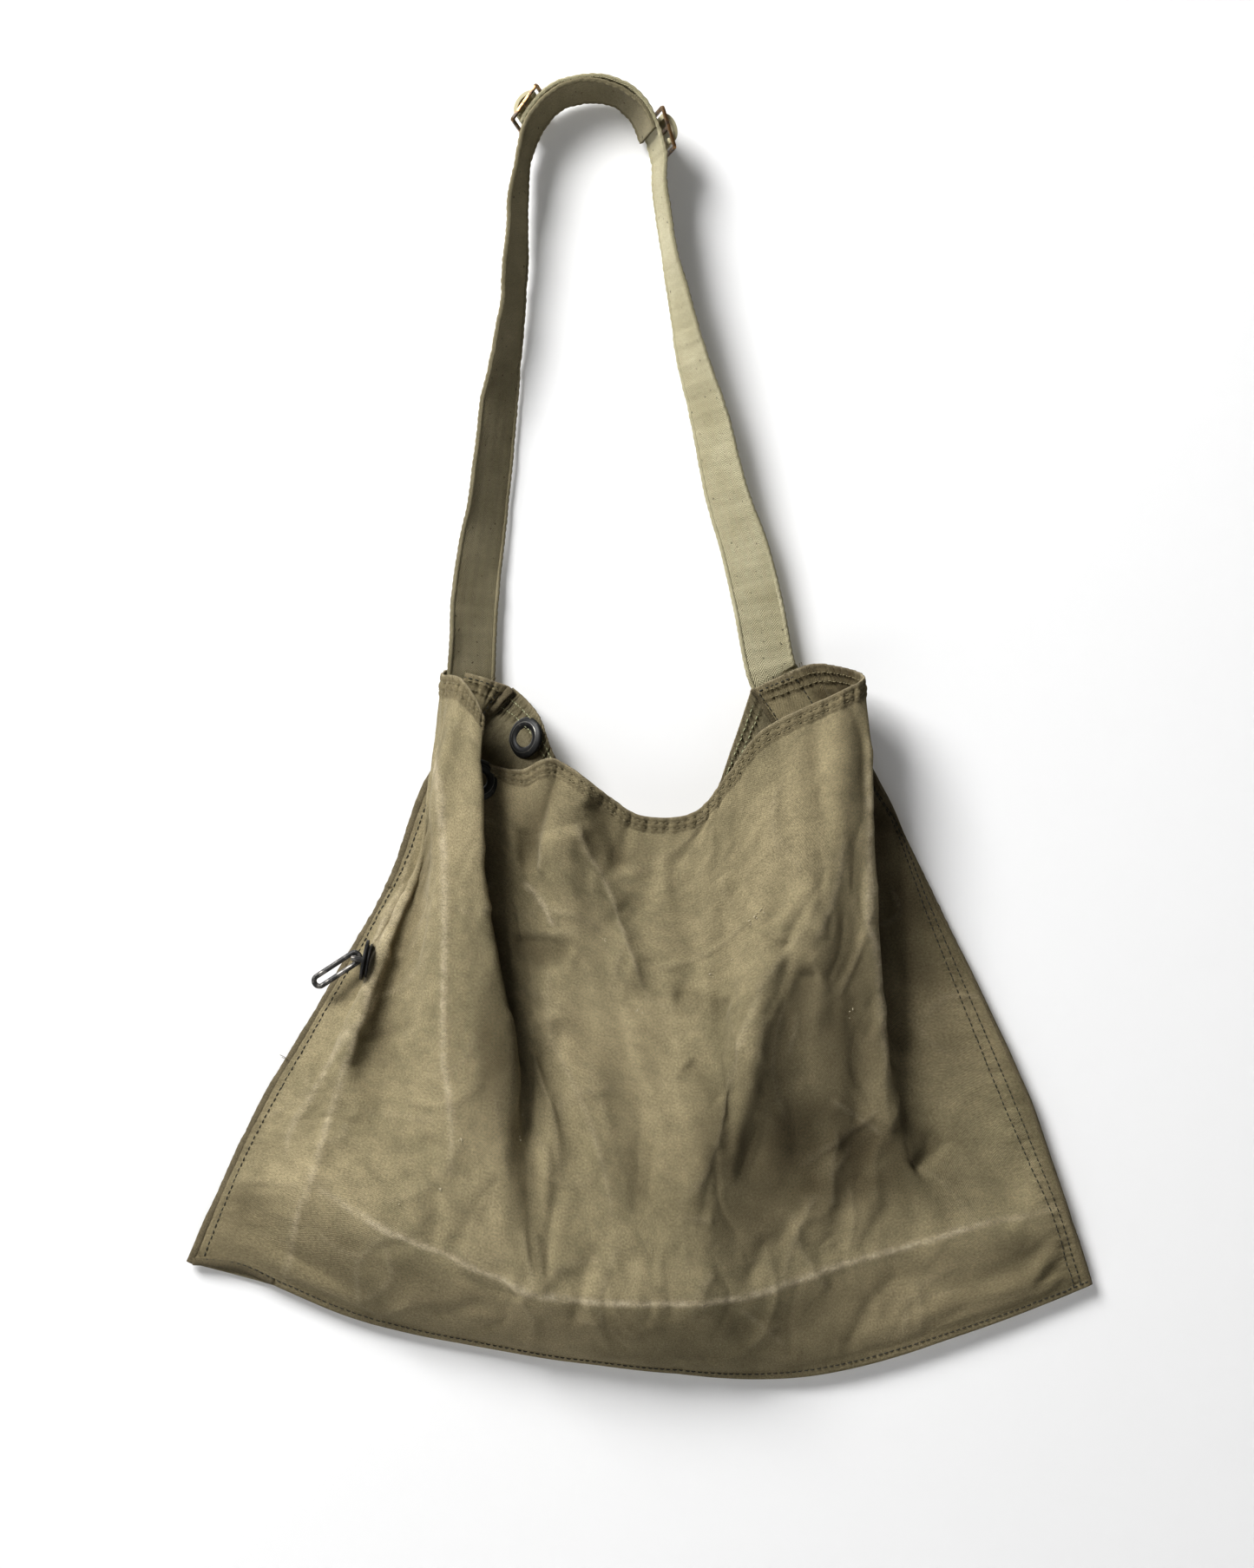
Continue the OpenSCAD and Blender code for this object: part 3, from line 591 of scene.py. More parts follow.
def settle(cloth):
    """Lets the cloth buckle between its seams, with a little more cloth than room."""
    cu = np.linspace(0, cloth.u_mm[-1], round(cloth.u_mm[-1] / SETTLE_STEP) + 1)
    cv = np.linspace(0, cloth.v_mm[-1], round(cloth.v_mm[-1] / SETTLE_STEP) + 1)
    before = cloth.sample(cloth.grid, *np.meshgrid(cu, cv))
    obj = grid_object("settling_cloth", before, cu, cv)
    held = obj.vertex_groups.new(name="held")
    index = np.arange(before.shape[0] * before.shape[1]).reshape(before.shape[:2])
    held.add(index.ravel().tolist(), HELD_INSIDE, "REPLACE")
    border = np.concatenate([index[:2].ravel(), index[-2:].ravel(), index[:, :2].ravel(),
                             index[:, -2:].ravel()])
    held.add(border.tolist(), 1.0, "REPLACE")
    sim = obj.modifiers.new("Cloth", "CLOTH")
    sim.settings.quality = 5
    sim.settings.mass = 0.4
    sim.settings.tension_stiffness = 12
    sim.settings.compression_stiffness = 12
    sim.settings.shear_stiffness = 6
    sim.settings.bending_stiffness = 2.5
    sim.settings.shrink_min = -SETTLE_SPARE
    sim.settings.vertex_group_mass = "held"
    sim.settings.pin_stiffness = 1
    sim.settings.effector_weights.gravity = 0.4
    sim.collision_settings.use_collision = False
    sim.point_cache.frame_end = SETTLE_FRAMES
    scene = bpy.context.scene
    for number in range(1, SETTLE_FRAMES + 1):
        scene.frame_set(number)
    evaluated = obj.evaluated_get(bpy.context.evaluated_depsgraph_get())
    after = np.empty(before.size)
    evaluated.data.vertices.foreach_get("co", after)
    moved = after.reshape(before.shape) / MM - before
    length = np.linalg.norm(moved, axis=2, keepdims=True)
    moved *= np.minimum(1, SETTLE_MOST / np.maximum(length, 1e-6))
    scene.frame_set(1)
    bpy.data.objects.remove(obj)
    across = np.interp(cloth.u_mm, cu, np.arange(len(cu)))
    down = np.interp(cloth.v_mm, cv, np.arange(len(cv)))
    cloth.grid = cloth.grid + surface(list(moved), across, down) * cloth.calm()[..., None]


def keep_clear(cloth):
    """Keeps the front in front of the back panel."""
    limit = np.where(cloth.u < cloth.seam - 0.5, -FRONT_CLEARANCE, 0)[None, :]
    ahead = np.broadcast_to((cloth.u > 1.5)[None, :], cloth.wear.shape)
    above = np.broadcast_to((cloth.v < cloth.last_row - 0.3)[:, None], cloth.wear.shape)
    y = cloth.grid[..., 1]
    cloth.grid[..., 1] = np.where(ahead & above, np.minimum(y, limit), y)


# ---- hems and stitching ----
def pucker_rows(cloth, distance, rows, pace, strength):
    """The cloth is drawn in along stitch rows and bulges between the stitches."""
    total = np.zeros(distance.shape)
    beat = np.sin(2 * np.pi * pace / PUCKER_PITCH + 1.3 * np.sin(pace / 23))
    slow = np.sin(2 * np.pi * pace / 13.7 + 2.0 * np.sin(pace / 31))
    for row in rows:
        near = np.exp(-((distance - row) / 1.3) ** 2)
        around = np.exp(-((distance - row) / 4.5) ** 2)
        total += strength * (-0.45 * near + around * (0.36 * beat + 0.34 * slow))
    return total


def add_hem(cloth):
    """A turned hem along the mouth: a thicker band with two puckered stitch rows."""
    u, v = np.meshgrid(cloth.u_mm, cloth.v_mm)
    band = 0.9 * smooth((HEM_DEPTH - v) / 1.5)
    cloth.raise_by(band + pucker_rows(cloth, v, HEM_STITCH_ROWS, u, 2.1))
    cloth.stain_and_shade = np.maximum(cloth.stain_and_shade, 0.45 * smooth((HEM_DEPTH + 2 - v) / 3))
    cloth.wear = np.maximum(cloth.wear, 0.35 * np.exp(-(v / 1.6) ** 2))


def add_darkening_below(cloth, row, strength):
    """The cloth darkens below a guide row."""
    below = smooth((cloth.v_mm - cloth.row_mm(row)) / 25)[:, None] * strength
    cloth.stain_and_shade = np.maximum(cloth.stain_and_shade, np.broadcast_to(below, cloth.stain_and_shade.shape))


def add_shade_and_soil(cloth, patches, columns):
    """Soft dark patches of painted shade, partly soil: x, z seen from the front, half width, half
    height, strength.
    """
    x, z = seen_from_front(cloth.grid)
    for px, pz, wide, high, strength in patches:
        spread = ((x - px) / wide) ** 2 + ((z - pz) / high) ** 2
        patch = np.exp(-spread ** 1.5) * strength * column_mask(cloth, *columns)
        cloth.stain_and_shade = np.maximum(cloth.stain_and_shade, patch)


def add_recess_shade(cloth, first, last, strength, until_row):
    """Painted shade on cloth that lies in the recess of a fold, less so lower down."""
    down = 1 - smooth(cloth.v / until_row)[:, None]
    shade = column_mask(cloth, first, last) * down * strength
    cloth.stain_and_shade = np.maximum(cloth.stain_and_shade, shade)


def add_seam(cloth, column, side, rows):
    """A seam beside a guide column: the cloth puckers along its stitch rows and darkens beside
    it.
    """
    u, v = np.meshgrid(cloth.u_mm, cloth.v_mm)
    distance = (u - cloth.column_mm(column)) * side
    near = smooth((22 - distance) / 6) * (distance >= 0)
    cloth.raise_by(near * pucker_rows(cloth, distance, rows, v, 0.9))
    cloth.stain_and_shade = np.maximum(cloth.stain_and_shade, 0.35 * np.exp(-(distance / 7) ** 2))


def mesh_object(name, verts, faces, material, is_smooth=True):
    mesh = bpy.data.meshes.new(name)
    mesh.from_pydata((np.asarray(verts).reshape(-1, 3) * MM).tolist(), [], faces)
    mesh.polygons.foreach_set("use_smooth", [is_smooth] * len(mesh.polygons))
    mesh.materials.append(material)
    mesh.update()
    return link(bpy.data.objects.new(name, mesh))


def unit(vectors):
    return vectors / np.maximum(np.linalg.norm(vectors, axis=-1, keepdims=True), 1e-9)


STITCH_SIDES = 6
STITCH_SHAPE = [(0.0, 0.25, -0.55), (0.12, 0.85, -0.05), (0.5, 1.0, 0.35),
                (0.88, 0.85, -0.05), (1.0, 0.25, -0.55)]


def stitches(name, starts, ends, normals, material):
    """Short bowed stitches of thread, one from each start to its end."""
    ahead = unit(ends - starts)
    aside = np.cross(ahead, normals)
    turn = 2 * np.pi * np.arange(STITCH_SIDES) / STITCH_SIDES
    rings = []
    for share, thick, lift in STITCH_SHAPE:
        centre = starts + (ends - starts) * share + normals * (lift + THREAD_R * 0.6)
        ring = (aside[:, None] * np.cos(turn)[:, None] + normals[:, None] * np.sin(turn)[:, None])
        rings.append(centre[:, None] + ring * thick * THREAD_R)
    verts = np.stack(rings, axis=1)
    count, last = len(starts), len(STITCH_SHAPE) - 1
    index = np.arange(count * (last + 1) * STITCH_SIDES).reshape(count, last + 1, STITCH_SIDES)
    after = np.roll(index, -1, axis=2)
    quads = np.stack([index[:, :-1], after[:, :-1], after[:, 1:], index[:, 1:]], axis=-1)
    faces = quads.reshape(-1, 4).tolist() + index[:, 0, ::-1].tolist() + index[:, -1].tolist()
    return mesh_object(name, verts, faces, material)


def row_of_stitches(points, normals, seed):
    """Starts, ends and normals of stitches spaced along a line of points."""
    rng = np.random.default_rng(seed)
    run = distances(points)
    first = np.arange(1.0, run[-1] - STITCH_LENGTH, STITCH_PITCH)
    first = first + rng.uniform(-0.35, 0.35, len(first))

    def at(distance, values):
        return np.stack([np.interp(distance, run, values[:, k]) for k in range(3)], axis=1)

    ends = at(first + STITCH_LENGTH, points) + rng.normal(0, 0.12, (len(first), 3))
    return at(first, points), ends, unit(at(first + STITCH_LENGTH / 2, normals))


def thread_rows(name, lines, material, seed=3):
    """Stitch rows along several lines, each a pair of points and normals, as one piece."""
    parts = [row_of_stitches(p, n, seed + i) for i, (p, n) in enumerate(lines)]
    starts, ends, normals = (np.concatenate([part[k] for part in parts]) for k in range(3))
    return stitches(name, starts, ends, normals, material)


def cloth_line(cloth, u_mm, v_mm, face=1.0):
    """Points and normals of a line on one face of a cloth."""
    u_mm, v_mm = np.broadcast_arrays(np.asarray(u_mm, float), np.asarray(v_mm, float))
    normals = cloth.sample(cloth.normals(), u_mm, v_mm) * face
    return cloth.sample(cloth.grid, u_mm, v_mm) + normals * CANVAS_T / 2, unit(normals)


def hem_lines(cloth, face=1.0):
    u = np.arange(4, cloth.u_mm[-1] - 4, 1.0)
    return [cloth_line(cloth, u, row, face) for row in HEM_STITCH_ROWS]


def seam_line(cloth, column, offset, first=3.0, face=1.0):
    v = np.arange(first, cloth.v_mm[-1] - 3, 1.0)
    return cloth_line(cloth, cloth.column_mm(column) + offset, v, face)


# ---- strips swept along a line ----
def tube(name, rings, widths, run, material):
    """A closed tube through rings of points, its UV map from widths and distance run."""
    n, m = rings.shape[:2]
    index = np.arange(n * m).reshape(n, m)
    after = np.roll(index, -1, axis=1)
    quads = np.stack([index[:-1], after[:-1], after[1:], index[1:]], axis=-1).reshape(-1, 4)
    faces = quads.tolist() + [index[0][::-1].tolist(), index[-1].tolist()]
    obj = mesh_object(name, rings, faces, material)
    flat = np.stack(np.broadcast_arrays(widths[None, :], run[:, None]), axis=-1)
    uv = obj.data.uv_layers.new(name="cloth")
    loops = np.empty(len(obj.data.loops), dtype=int)
    obj.data.loops.foreach_get("vertex_index", loops)
    uv.data.foreach_set("uv", (flat.reshape(-1, 2) * MM)[loops].ravel())
    return obj


def sweep(name, centre, across, normal, profile, material):
    """A closed strip: a profile of (across, outwards) points carried along a line."""
    rings = np.stack([centre + across * w + normal * h for w, h in profile], axis=1)
    widths = np.array([w for w, _ in profile], float)
    return tube(name, rings, widths, distances(centre), material)


def oval(half_width, half_thickness, count=12):
    turn = 2 * np.pi * np.arange(count) / count
    return [(half_width * math.cos(a), half_thickness * math.sin(a)) for a in turn]


def edge_fold(name, cloth, u_mm, v_mm, outward, reach, thick, material, seed):
    """The folded raw edge of a seam: a soft uneven roll just outside the cloth's edge."""
    points, normals = cloth_line(cloth, u_mm, v_mm)
    points = points - normals * CANVAS_T / 2
    ahead = unit(np.gradient(points, axis=0))
    across = unit(np.cross(ahead, normals)) * outward
    rng = np.random.default_rng(seed)
    run = np.arange(len(points))
    waves = sum(rng.uniform(0.15, 0.45) * np.sin(run / rng.uniform(2, 14) + rng.uniform(0, 6))
                for _ in range(6))
    centre = points + across * (reach / 2 + 0.25 * waves[:, None])
    sway = 0.35 * np.sin(run / 5.1 + waves)[:, None]
    return sweep(name, centre + normals * sway, across, normals, oval(reach * 0.62, thick),
                 material)


def join(name, pieces):
    """One piece from several meshes."""
    with bpy.context.temp_override(active_object=pieces[0], selected_editable_objects=pieces):
        bpy.ops.object.join()
    pieces[0].name = name
    return pieces[0]


FRAY_R = 0.22


def frays(name, spots, material, seed, each, length):
    """Loose hairs of thread round a few spots, given as place and direction."""
    rng = np.random.default_rng(seed)
    hairs = []
    for spot, way in spots:
        for _ in range(each):
            reach = length * rng.uniform(0.4, 1.2)
            aim = unit(np.asarray(way, float) + rng.normal(0, 0.45, 3))
            curl = rng.normal(0, 0.5, 3)
            t = np.linspace(0, 1, 7)[:, None]
            start = np.asarray(spot, float) + rng.normal(0, 1.2, 3)
            line = start + aim * reach * t + curl * reach * t * t * 0.5
            ahead = unit(np.gradient(line, axis=0))
            across = unit(np.cross(ahead, [0.3, 0.5, 0.8]))
            hairs.append(sweep("hair", line, across, np.cross(across, ahead),
                               oval(FRAY_R, FRAY_R, 5), material))
    return join(name, hairs)


# ---- webbing ----
def strap_frames(route, t, lift):
    """Points, directions across and directions outwards along a strap, in millimetres."""
    line = catmull(route, t)
    right = route[0][0] > 0
    ahead = unit(np.gradient(line[:, :3], axis=0))
    outward = unit(np.stack([-ahead[:, 2], np.zeros(len(t)), ahead[:, 0]], axis=1))
    if right:
        outward = -outward
    twist = np.radians(line[:, 3:4])
    lean = np.cos(twist) * np.array([[0, -1, 0]]) + np.sin(twist) * outward
    across = unit(lean - ahead * (lean * ahead).sum(axis=1, keepdims=True))
    normal = np.cross(across, ahead) * (-1 if right else 1)
    return line[:, :3] + normal * lift[:, None], across, normal


WEBBING_STEP = 1.0
SELVEDGE_R = 2.0
SELVEDGE_LAY = 5.5
FACE_HALF_T = 1.05
SELVEDGE_SIDES = 10
# Where the rear face and the selvedges start on the UV map
REAR_UV = 60
SELVEDGE_UV = 120


def strap_line(route, rising):
    """Even steps along a strap and its frames; a rising strap lies over the other half."""
    last = len(route) - 1
    fine = np.linspace(0, last, 60 * last)
    run = distances(catmull(route, fine)[:, :3])
    steps = np.linspace(0, run[-1], int(run[-1] / WEBBING_STEP) + 2)
    t = np.interp(steps, run, fine)
    start = len(route) - len(RIGHT_ROUTE) + RIGHT_LIFT_START - 1
    lift = LAYER_GAP * np.clip(t - start, 0, 1) if rising else 0 * t
    return steps, strap_frames(route, t, lift)


def webbing(name, route, rising, wave, material):
    """Flat webbing with a corded selvedge down each side."""
    steps, (centre, across, normal) = strap_line(route, rising)
    half = WEBBING_W / 2
    slow = np.sin(steps / 41) + 0.6 * np.sin(steps / 23 + 1.7)
    cup = 0.5 * np.sin(steps / 57 + 0.8)
    places = np.linspace(-half + SELVEDGE_R, half - SELVEDGE_R, 25)
    rng = np.random.default_rng(len(route))
    crossing = sum(a * np.sin(steps / p + q) for a, p, q in
                   zip(rng.uniform(0.04, 0.12, 8), rng.uniform(0.9, 6, 8),
                       rng.uniform(0, 6, 8)))
    edge_wave = {side: wave[side > 0] * (np.sin(steps / 19 + side)
                                         + 0.5 * np.sin(steps / 8.3 + 2 * side))
                 for side in (-1, 1)}

    def surface_point(w, h):
        share = w / half
        bow = cup * (1 - share * share) + 0.25 * slow * share
        wavy = np.where(share > 0, edge_wave[1], edge_wave[-1]) * abs(share) ** 3
        return (centre + across * (w * (1 + 0.004 * slow))[:, None]
                + normal * (h + bow + wavy + crossing)[:, None])

    front = [surface_point(w, FACE_HALF_T) for w in places]
    rear = [surface_point(w, -FACE_HALF_T) for w in places[::-1]]
    widths = np.concatenate([places, places[::-1] + REAR_UV])
    body = tube(name, np.stack(front + rear, axis=1), widths, steps, material)
    cords = []
    turn = 2 * np.pi * np.arange(SELVEDGE_SIDES) / SELVEDGE_SIDES
    for side in (-1, 1):
        middle = surface_point(side * (half - SELVEDGE_R * 0.8), 0.0)
        lay = 2 * (turn[None, :] * side - 2 * np.pi * steps[:, None] / (2 * SELVEDGE_LAY))
        radius = SELVEDGE_R * (0.80 + 0.24 * np.abs(np.cos(lay / 2)))
        ring = (across[:, None] * np.cos(turn)[:, None] + normal[:, None] * np.sin(turn)[:, None])
        rings = middle[:, None] + ring * radius[..., None]
        cords.append(tube("selvedge", rings, turn * SELVEDGE_R + SELVEDGE_UV, steps, material))
    return join(name, [body] + cords)


# ---- hard parts ----
def rounded_copy(node, name, body, material, bevel, slot):
    """A CAD part's own shape with softened edges and a finish."""
    obj = link(bpy.data.objects.new(name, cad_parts[node].data.copy()))
    weld = obj.modifiers.new("weld", "WELD")
    weld.merge_threshold = 0.01 * MM
    if bevel:
        rounding = obj.modifiers.new("rounding", "BEVEL")
        rounding.width = bevel * MM
        rounding.segments = 3
        rounding.limit_method = "ANGLE"
        rounding.angle_limit = math.radians(35)
    apply_modifiers(obj)
    obj.data.materials.clear()
    obj.data.materials.append(material)
    obj.data.polygons.foreach_set("use_smooth", [True] * len(obj.data.polygons))
    obj.data.set_sharp_from_angle(angle=math.radians(45))
    place(obj, body, slot, node)
    return obj


def place(obj, body, slot, *nodes):
    """The piece moves with a body and stands for CAD nodes; slot is not used."""
    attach(obj, body)
    if nodes:
        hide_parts(*nodes)


def lathe(name, at, direction, profile, material, count=64):
    """A ring turned about a direction, from a closed profile of (radius, height)."""
    axis = unit(np.asarray(direction, float))
    aside = unit(np.cross(axis, [0, 0, 1.0]))
    upward = np.cross(axis, aside)
    turn = 2 * np.pi * np.arange(count) / count
    out = aside * np.cos(turn)[:, None] + upward * np.sin(turn)[:, None]
    verts = np.stack([np.asarray(at, float) + out * r + axis * h for r, h in profile], axis=1)
    n, m = verts.shape[:2]
    index = np.arange(n * m).reshape(n, m)
    right, below = np.roll(index, -1, axis=0), np.roll(index, -1, axis=1)
    both = np.roll(right, -1, axis=1)
    faces = np.stack([index, right, both, below], axis=-1).reshape(-1, 4).tolist()
    return mesh_object(name, verts, faces, material)


# ---- materials, in metres ----
WEAVE_PITCH = 0.0013
RIB_PITCH = 0.0018
CORD_PITCH = 0.0011
ZIGZAG = 0.004


class Nodes:
    """Short ways to add and join shader nodes."""

    def __init__(self, name):
        self.material = bpy.data.materials.new(name)
        self.material.use_nodes = True
        self.tree = self.material.node_tree
        self.shader = self.tree.nodes["Principled BSDF"]

    def put(self, socket, value):
        if isinstance(value, bpy.types.NodeSocket):
            self.tree.links.new(value, socket)
        elif isinstance(value, tuple) and len(value) == 3 and socket.type == "RGBA":
            socket.default_value = (*value, 1)
        else:
            socket.default_value = value

    def math(self, kind, *values):
        node = self.tree.nodes.new("ShaderNodeMath")
        node.operation = kind
        for socket, value in zip(node.inputs, values):
            self.put(socket, value)
        return node.outputs[0]

    def noise(self, vector, scale, detail=3.0, roughness=0.5):
        node = self.tree.nodes.new("ShaderNodeTexNoise")
        self.put(node.inputs["Vector"], vector)
        node.inputs["Scale"].default_value = scale
        node.inputs["Detail"].default_value = detail
        node.inputs["Roughness"].default_value = roughness
        return node.outputs["Fac"]

    def remap(self, value, low, high, out_low=0.0, out_high=1.0):
        node = self.tree.nodes.new("ShaderNodeMapRange")
        for socket, item in zip(node.inputs, (value, low, high, out_low, out_high)):
            self.put(socket, item)
        return node.outputs[0]

    def mix(self, share, a, b, kind="MIX"):
        node = self.tree.nodes.new("ShaderNodeMix")
        node.data_type = "RGBA"
        node.blend_type = kind
        self.put(node.inputs[0], share)
        self.put(node.inputs[6], a)
        self.put(node.inputs[7], b)
        return node.outputs[2]

    def grey(self, value):
        node = self.tree.nodes.new("ShaderNodeCombineXYZ")
        for socket in node.inputs:
            self.put(socket, value)
        return node.outputs[0]

    def uv(self):
        node = self.tree.nodes.new("ShaderNodeUVMap")
        node.uv_map = "cloth"
        return node.outputs[0]

    def own_place(self):
        return self.tree.nodes.new("ShaderNodeTexCoord").outputs["Object"]

    def attribute(self, name):
        node = self.tree.nodes.new("ShaderNodeAttribute")
        node.attribute_name = name
        return node.outputs["Fac"]

    def parts(self, vector):
        node = self.tree.nodes.new("ShaderNodeSeparateXYZ")
        self.put(node.inputs[0], vector)
        return node.outputs[0], node.outputs[1]

    def bump(self, height, strength, distance, under=None):
        node = self.tree.nodes.new("ShaderNodeBump")
        node.inputs["Strength"].default_value = strength
        node.inputs["Distance"].default_value = distance
        self.put(node.inputs["Height"], height)
        if under is not None:
            self.put(node.inputs["Normal"], under)
        return node.outputs[0]


def yarns(nodes, position, pitch, wander):
    """A soft wave across yarns of one direction, straying a little from straight."""
    moved = nodes.math("ADD", position, nodes.math("MULTIPLY", wander, pitch * 0.9))
    turn = nodes.math("MULTIPLY", moved, 2 * math.pi / pitch)
    return nodes.math("SINE", turn)


def canvas_material(name, base, faded, worn, dark):
    """Heavy plain-weave canvas: mottled fading, slubs, worn creases, dirt and painted shade."""
    nodes = Nodes(name)
    uv = nodes.uv()
    across, down = nodes.parts(uv)
    wander = nodes.noise(uv, 90.0, 2.0)
    warp = yarns(nodes, across, WEAVE_PITCH, wander)
    weft = yarns(nodes, down, WEAVE_PITCH, wander)
    weave = nodes.math("MULTIPLY", warp, weft)
    blotch = nodes.remap(nodes.noise(uv, 7.0, 5.0, 0.6), 0.36, 0.66)
    mottle = nodes.remap(nodes.noise(uv, 70.0, 6.0, 0.7), 0.25, 0.75, 0.74, 1.22)
    slub = nodes.remap(nodes.noise(uv, 700.0, 3.0, 0.8), 0.25, 0.75, 0.54, 1.46)
    grain = nodes.remap(weave, -1.0, 1.0, 0.88, 1.12)
    tone = nodes.math("MULTIPLY", nodes.math("MULTIPLY", mottle, slub), grain)
    colour = nodes.mix(blotch, base, faded)
    # Darkens the colour by the cloth's attribute: real stains and painted shade in folds and
    # recesses
    grime_and_shade = nodes.math("MULTIPLY", nodes.attribute("stain_and_shade"),
                       nodes.remap(nodes.noise(uv, 35.0, 4.0), 0.3, 0.6, 0.6, 1.2))
    colour = nodes.mix(nodes.math("MINIMUM", grime_and_shade, 1.0), colour, dark)
    rub = nodes.remap(nodes.noise(uv, 110.0, 6.0, 0.75), 0.40, 0.66)
    rub = nodes.math("MULTIPLY", nodes.attribute("wear"), nodes.math("ADD", 0.30, rub))
    colour = nodes.mix(nodes.math("MINIMUM", rub, 1.0), colour, worn)
    colour = nodes.mix(1.0, colour, nodes.grey(tone), "MULTIPLY")
    nodes.put(nodes.shader.inputs["Base Color"], colour)
    nodes.shader.inputs["Roughness"].default_value = 0.92
    nodes.shader.inputs["Specular IOR Level"].default_value = 0.18
    coarse = nodes.bump(nodes.noise(uv, 220.0, 5.0, 0.65), 0.55, 0.0012)
    fine = nodes.bump(weave, 0.7, 0.0003, coarse)
    nodes.put(nodes.shader.inputs["Normal"], fine)
    return nodes.material


def webbing_material(name, base, faded, speck):
    """Cotton webbing: a fine herringbone, fading along its length and small dark specks."""
    nodes = Nodes(name)
    uv = nodes.uv()
    across, down = nodes.parts(uv)
    zigzag = nodes.math("PINGPONG", across, ZIGZAG)
    wander = nodes.noise(uv, 120.0, 2.0)
    ribs = yarns(nodes, nodes.math("ADD", down, zigzag), RIB_PITCH, wander)
    fine = yarns(nodes, across, CORD_PITCH, wander)
    height = nodes.math("ADD", ribs, nodes.math("MULTIPLY", fine, 0.4))
    blotch = nodes.remap(nodes.noise(uv, 14.0, 4.0, 0.6), 0.35, 0.65)
    colour = nodes.mix(blotch, base, faded)
    tone = nodes.math("MULTIPLY", nodes.remap(height, -1.4, 1.4, 0.84, 1.14),
                      nodes.remap(nodes.noise(uv, 500.0, 3.0, 0.7), 0.2, 0.8, 0.80, 1.2))
    colour = nodes.mix(1.0, colour, nodes.grey(tone), "MULTIPLY")
    dots = nodes.remap(nodes.noise(uv, 260.0, 1.0), 0.70, 0.76)
    colour = nodes.mix(nodes.math("MULTIPLY", dots, 0.8), colour, speck)
    nodes.put(nodes.shader.inputs["Base Color"], colour)
    nodes.shader.inputs["Roughness"].default_value = 0.9
    nodes.shader.inputs["Specular IOR Level"].default_value = 0.2
    coarse = nodes.bump(nodes.noise(uv, 300.0, 4.0, 0.6), 0.5, 0.0009)
    nodes.put(nodes.shader.inputs["Normal"], nodes.bump(height, 0.6, 0.0004, coarse))
    return nodes.material


def metal_material(name, coat, bare, share, coat_roughness, bare_roughness):
    """Coated metal rubbed through in patches."""
    nodes = Nodes(name)
    here = nodes.own_place()
    low = 0.62 - 0.3 * share
    rubbed = nodes.remap(nodes.noise(here, 170.0, 6.0, 0.7), low, low + 0.10)
    colour = nodes.mix(rubbed, coat, bare)
    nodes.put(nodes.shader.inputs["Base Color"], colour)
    nodes.put(nodes.shader.inputs["Metallic"], nodes.remap(rubbed, 0.0, 1.0, 0.25, 0.95))
    nodes.put(nodes.shader.inputs["Roughness"],
              nodes.remap(rubbed, 0.0, 1.0, coat_roughness, bare_roughness))
    nodes.put(nodes.shader.inputs["Normal"],
              nodes.bump(nodes.noise(here, 900.0, 4.0, 0.6), 0.25, 0.0004))
    return nodes.material


# ---- build ----
add_camera()
add_stage()
add_lights()

canvas = canvas_material("canvas", (0.196, 0.169, 0.101), (0.315, 0.266, 0.163),
                         (0.44, 0.38, 0.27), (0.062, 0.048, 0.026))
canvas_back = canvas_material("canvas_back", (0.168, 0.147, 0.092), (0.233, 0.201, 0.132),
                              (0.40, 0.335, 0.22), (0.065, 0.054, 0.028))
strap_cloth = webbing_material("webbing", (0.31, 0.282, 0.18), (0.41, 0.378, 0.258),
                               (0.03, 0.028, 0.018))
# A darker copy of the webbing for the left half: painted shade on its face turned from the light
shaded_strap_cloth = webbing_material("webbing_painted_shade", (0.17, 0.148, 0.090),
                                     (0.245, 0.216, 0.14), (0.02, 0.017, 0.01))
dark_thread = plain_material("dark_thread", (0.022, 0.021, 0.014), 0.75)
hem_thread = plain_material("hem_thread", (0.17, 0.145, 0.082), 0.85)
pale_thread = plain_material("pale_thread", (0.30, 0.31, 0.19), 0.8)
binding = canvas_material("binding", (0.098, 0.082, 0.050), (0.15, 0.124, 0.078),
                          (0.36, 0.30, 0.21), (0.05, 0.04, 0.025))
black_steel = metal_material("black_steel", (0.010, 0.010, 0.0095), (0.10, 0.095, 0.085),
                             0.12, 0.52, 0.50)
funnel_steel = metal_material("funnel_steel", (0.055, 0.054, 0.05), (0.16, 0.155, 0.14),
                              0.5, 0.50, 0.45)
worn_steel = metal_material("worn_steel", (0.022, 0.021, 0.02), (0.20, 0.19, 0.175),
                            0.5, 0.5, 0.45)
bronze = metal_material("bronze", (0.05, 0.032, 0.018), (0.30, 0.18, 0.085),
                        0.6, 0.45, 0.35)

# Front cloth, which wraps round both sides and the bottom
LEFT_SEAM, RIGHT_SEAM = 0, 18
BOTTOM_CREASE_ROW = 5
BACK_SEAM_FOLD = 110.0
LEFT_STITCH_INSET = 5.0
RIGHT_STITCH_INSETS = (6.0, 11.0)
front = Cloth(FRONT_ROWS, -1.0, RIGHT_SEAM)
add_folds(front, FRONT_FOLDS)
add_dents(front, DENTS, 29)
add_wrinkles(front, WRINKLES, 11)
settle(front)
keep_clear(front)
add_hem(front)
add_seam(front, LEFT_SEAM, 1, [LEFT_STITCH_INSET])
add_seam(front, RIGHT_SEAM, -1, RIGHT_STITCH_INSETS)
add_darkening_below(front, BOTTOM_CREASE_ROW, 0.35)
# Painted shade, partly soil, on the dark flanks and hollows of the front
add_shade_and_soil(front, SHADE_AND_SOIL, (2, 18))
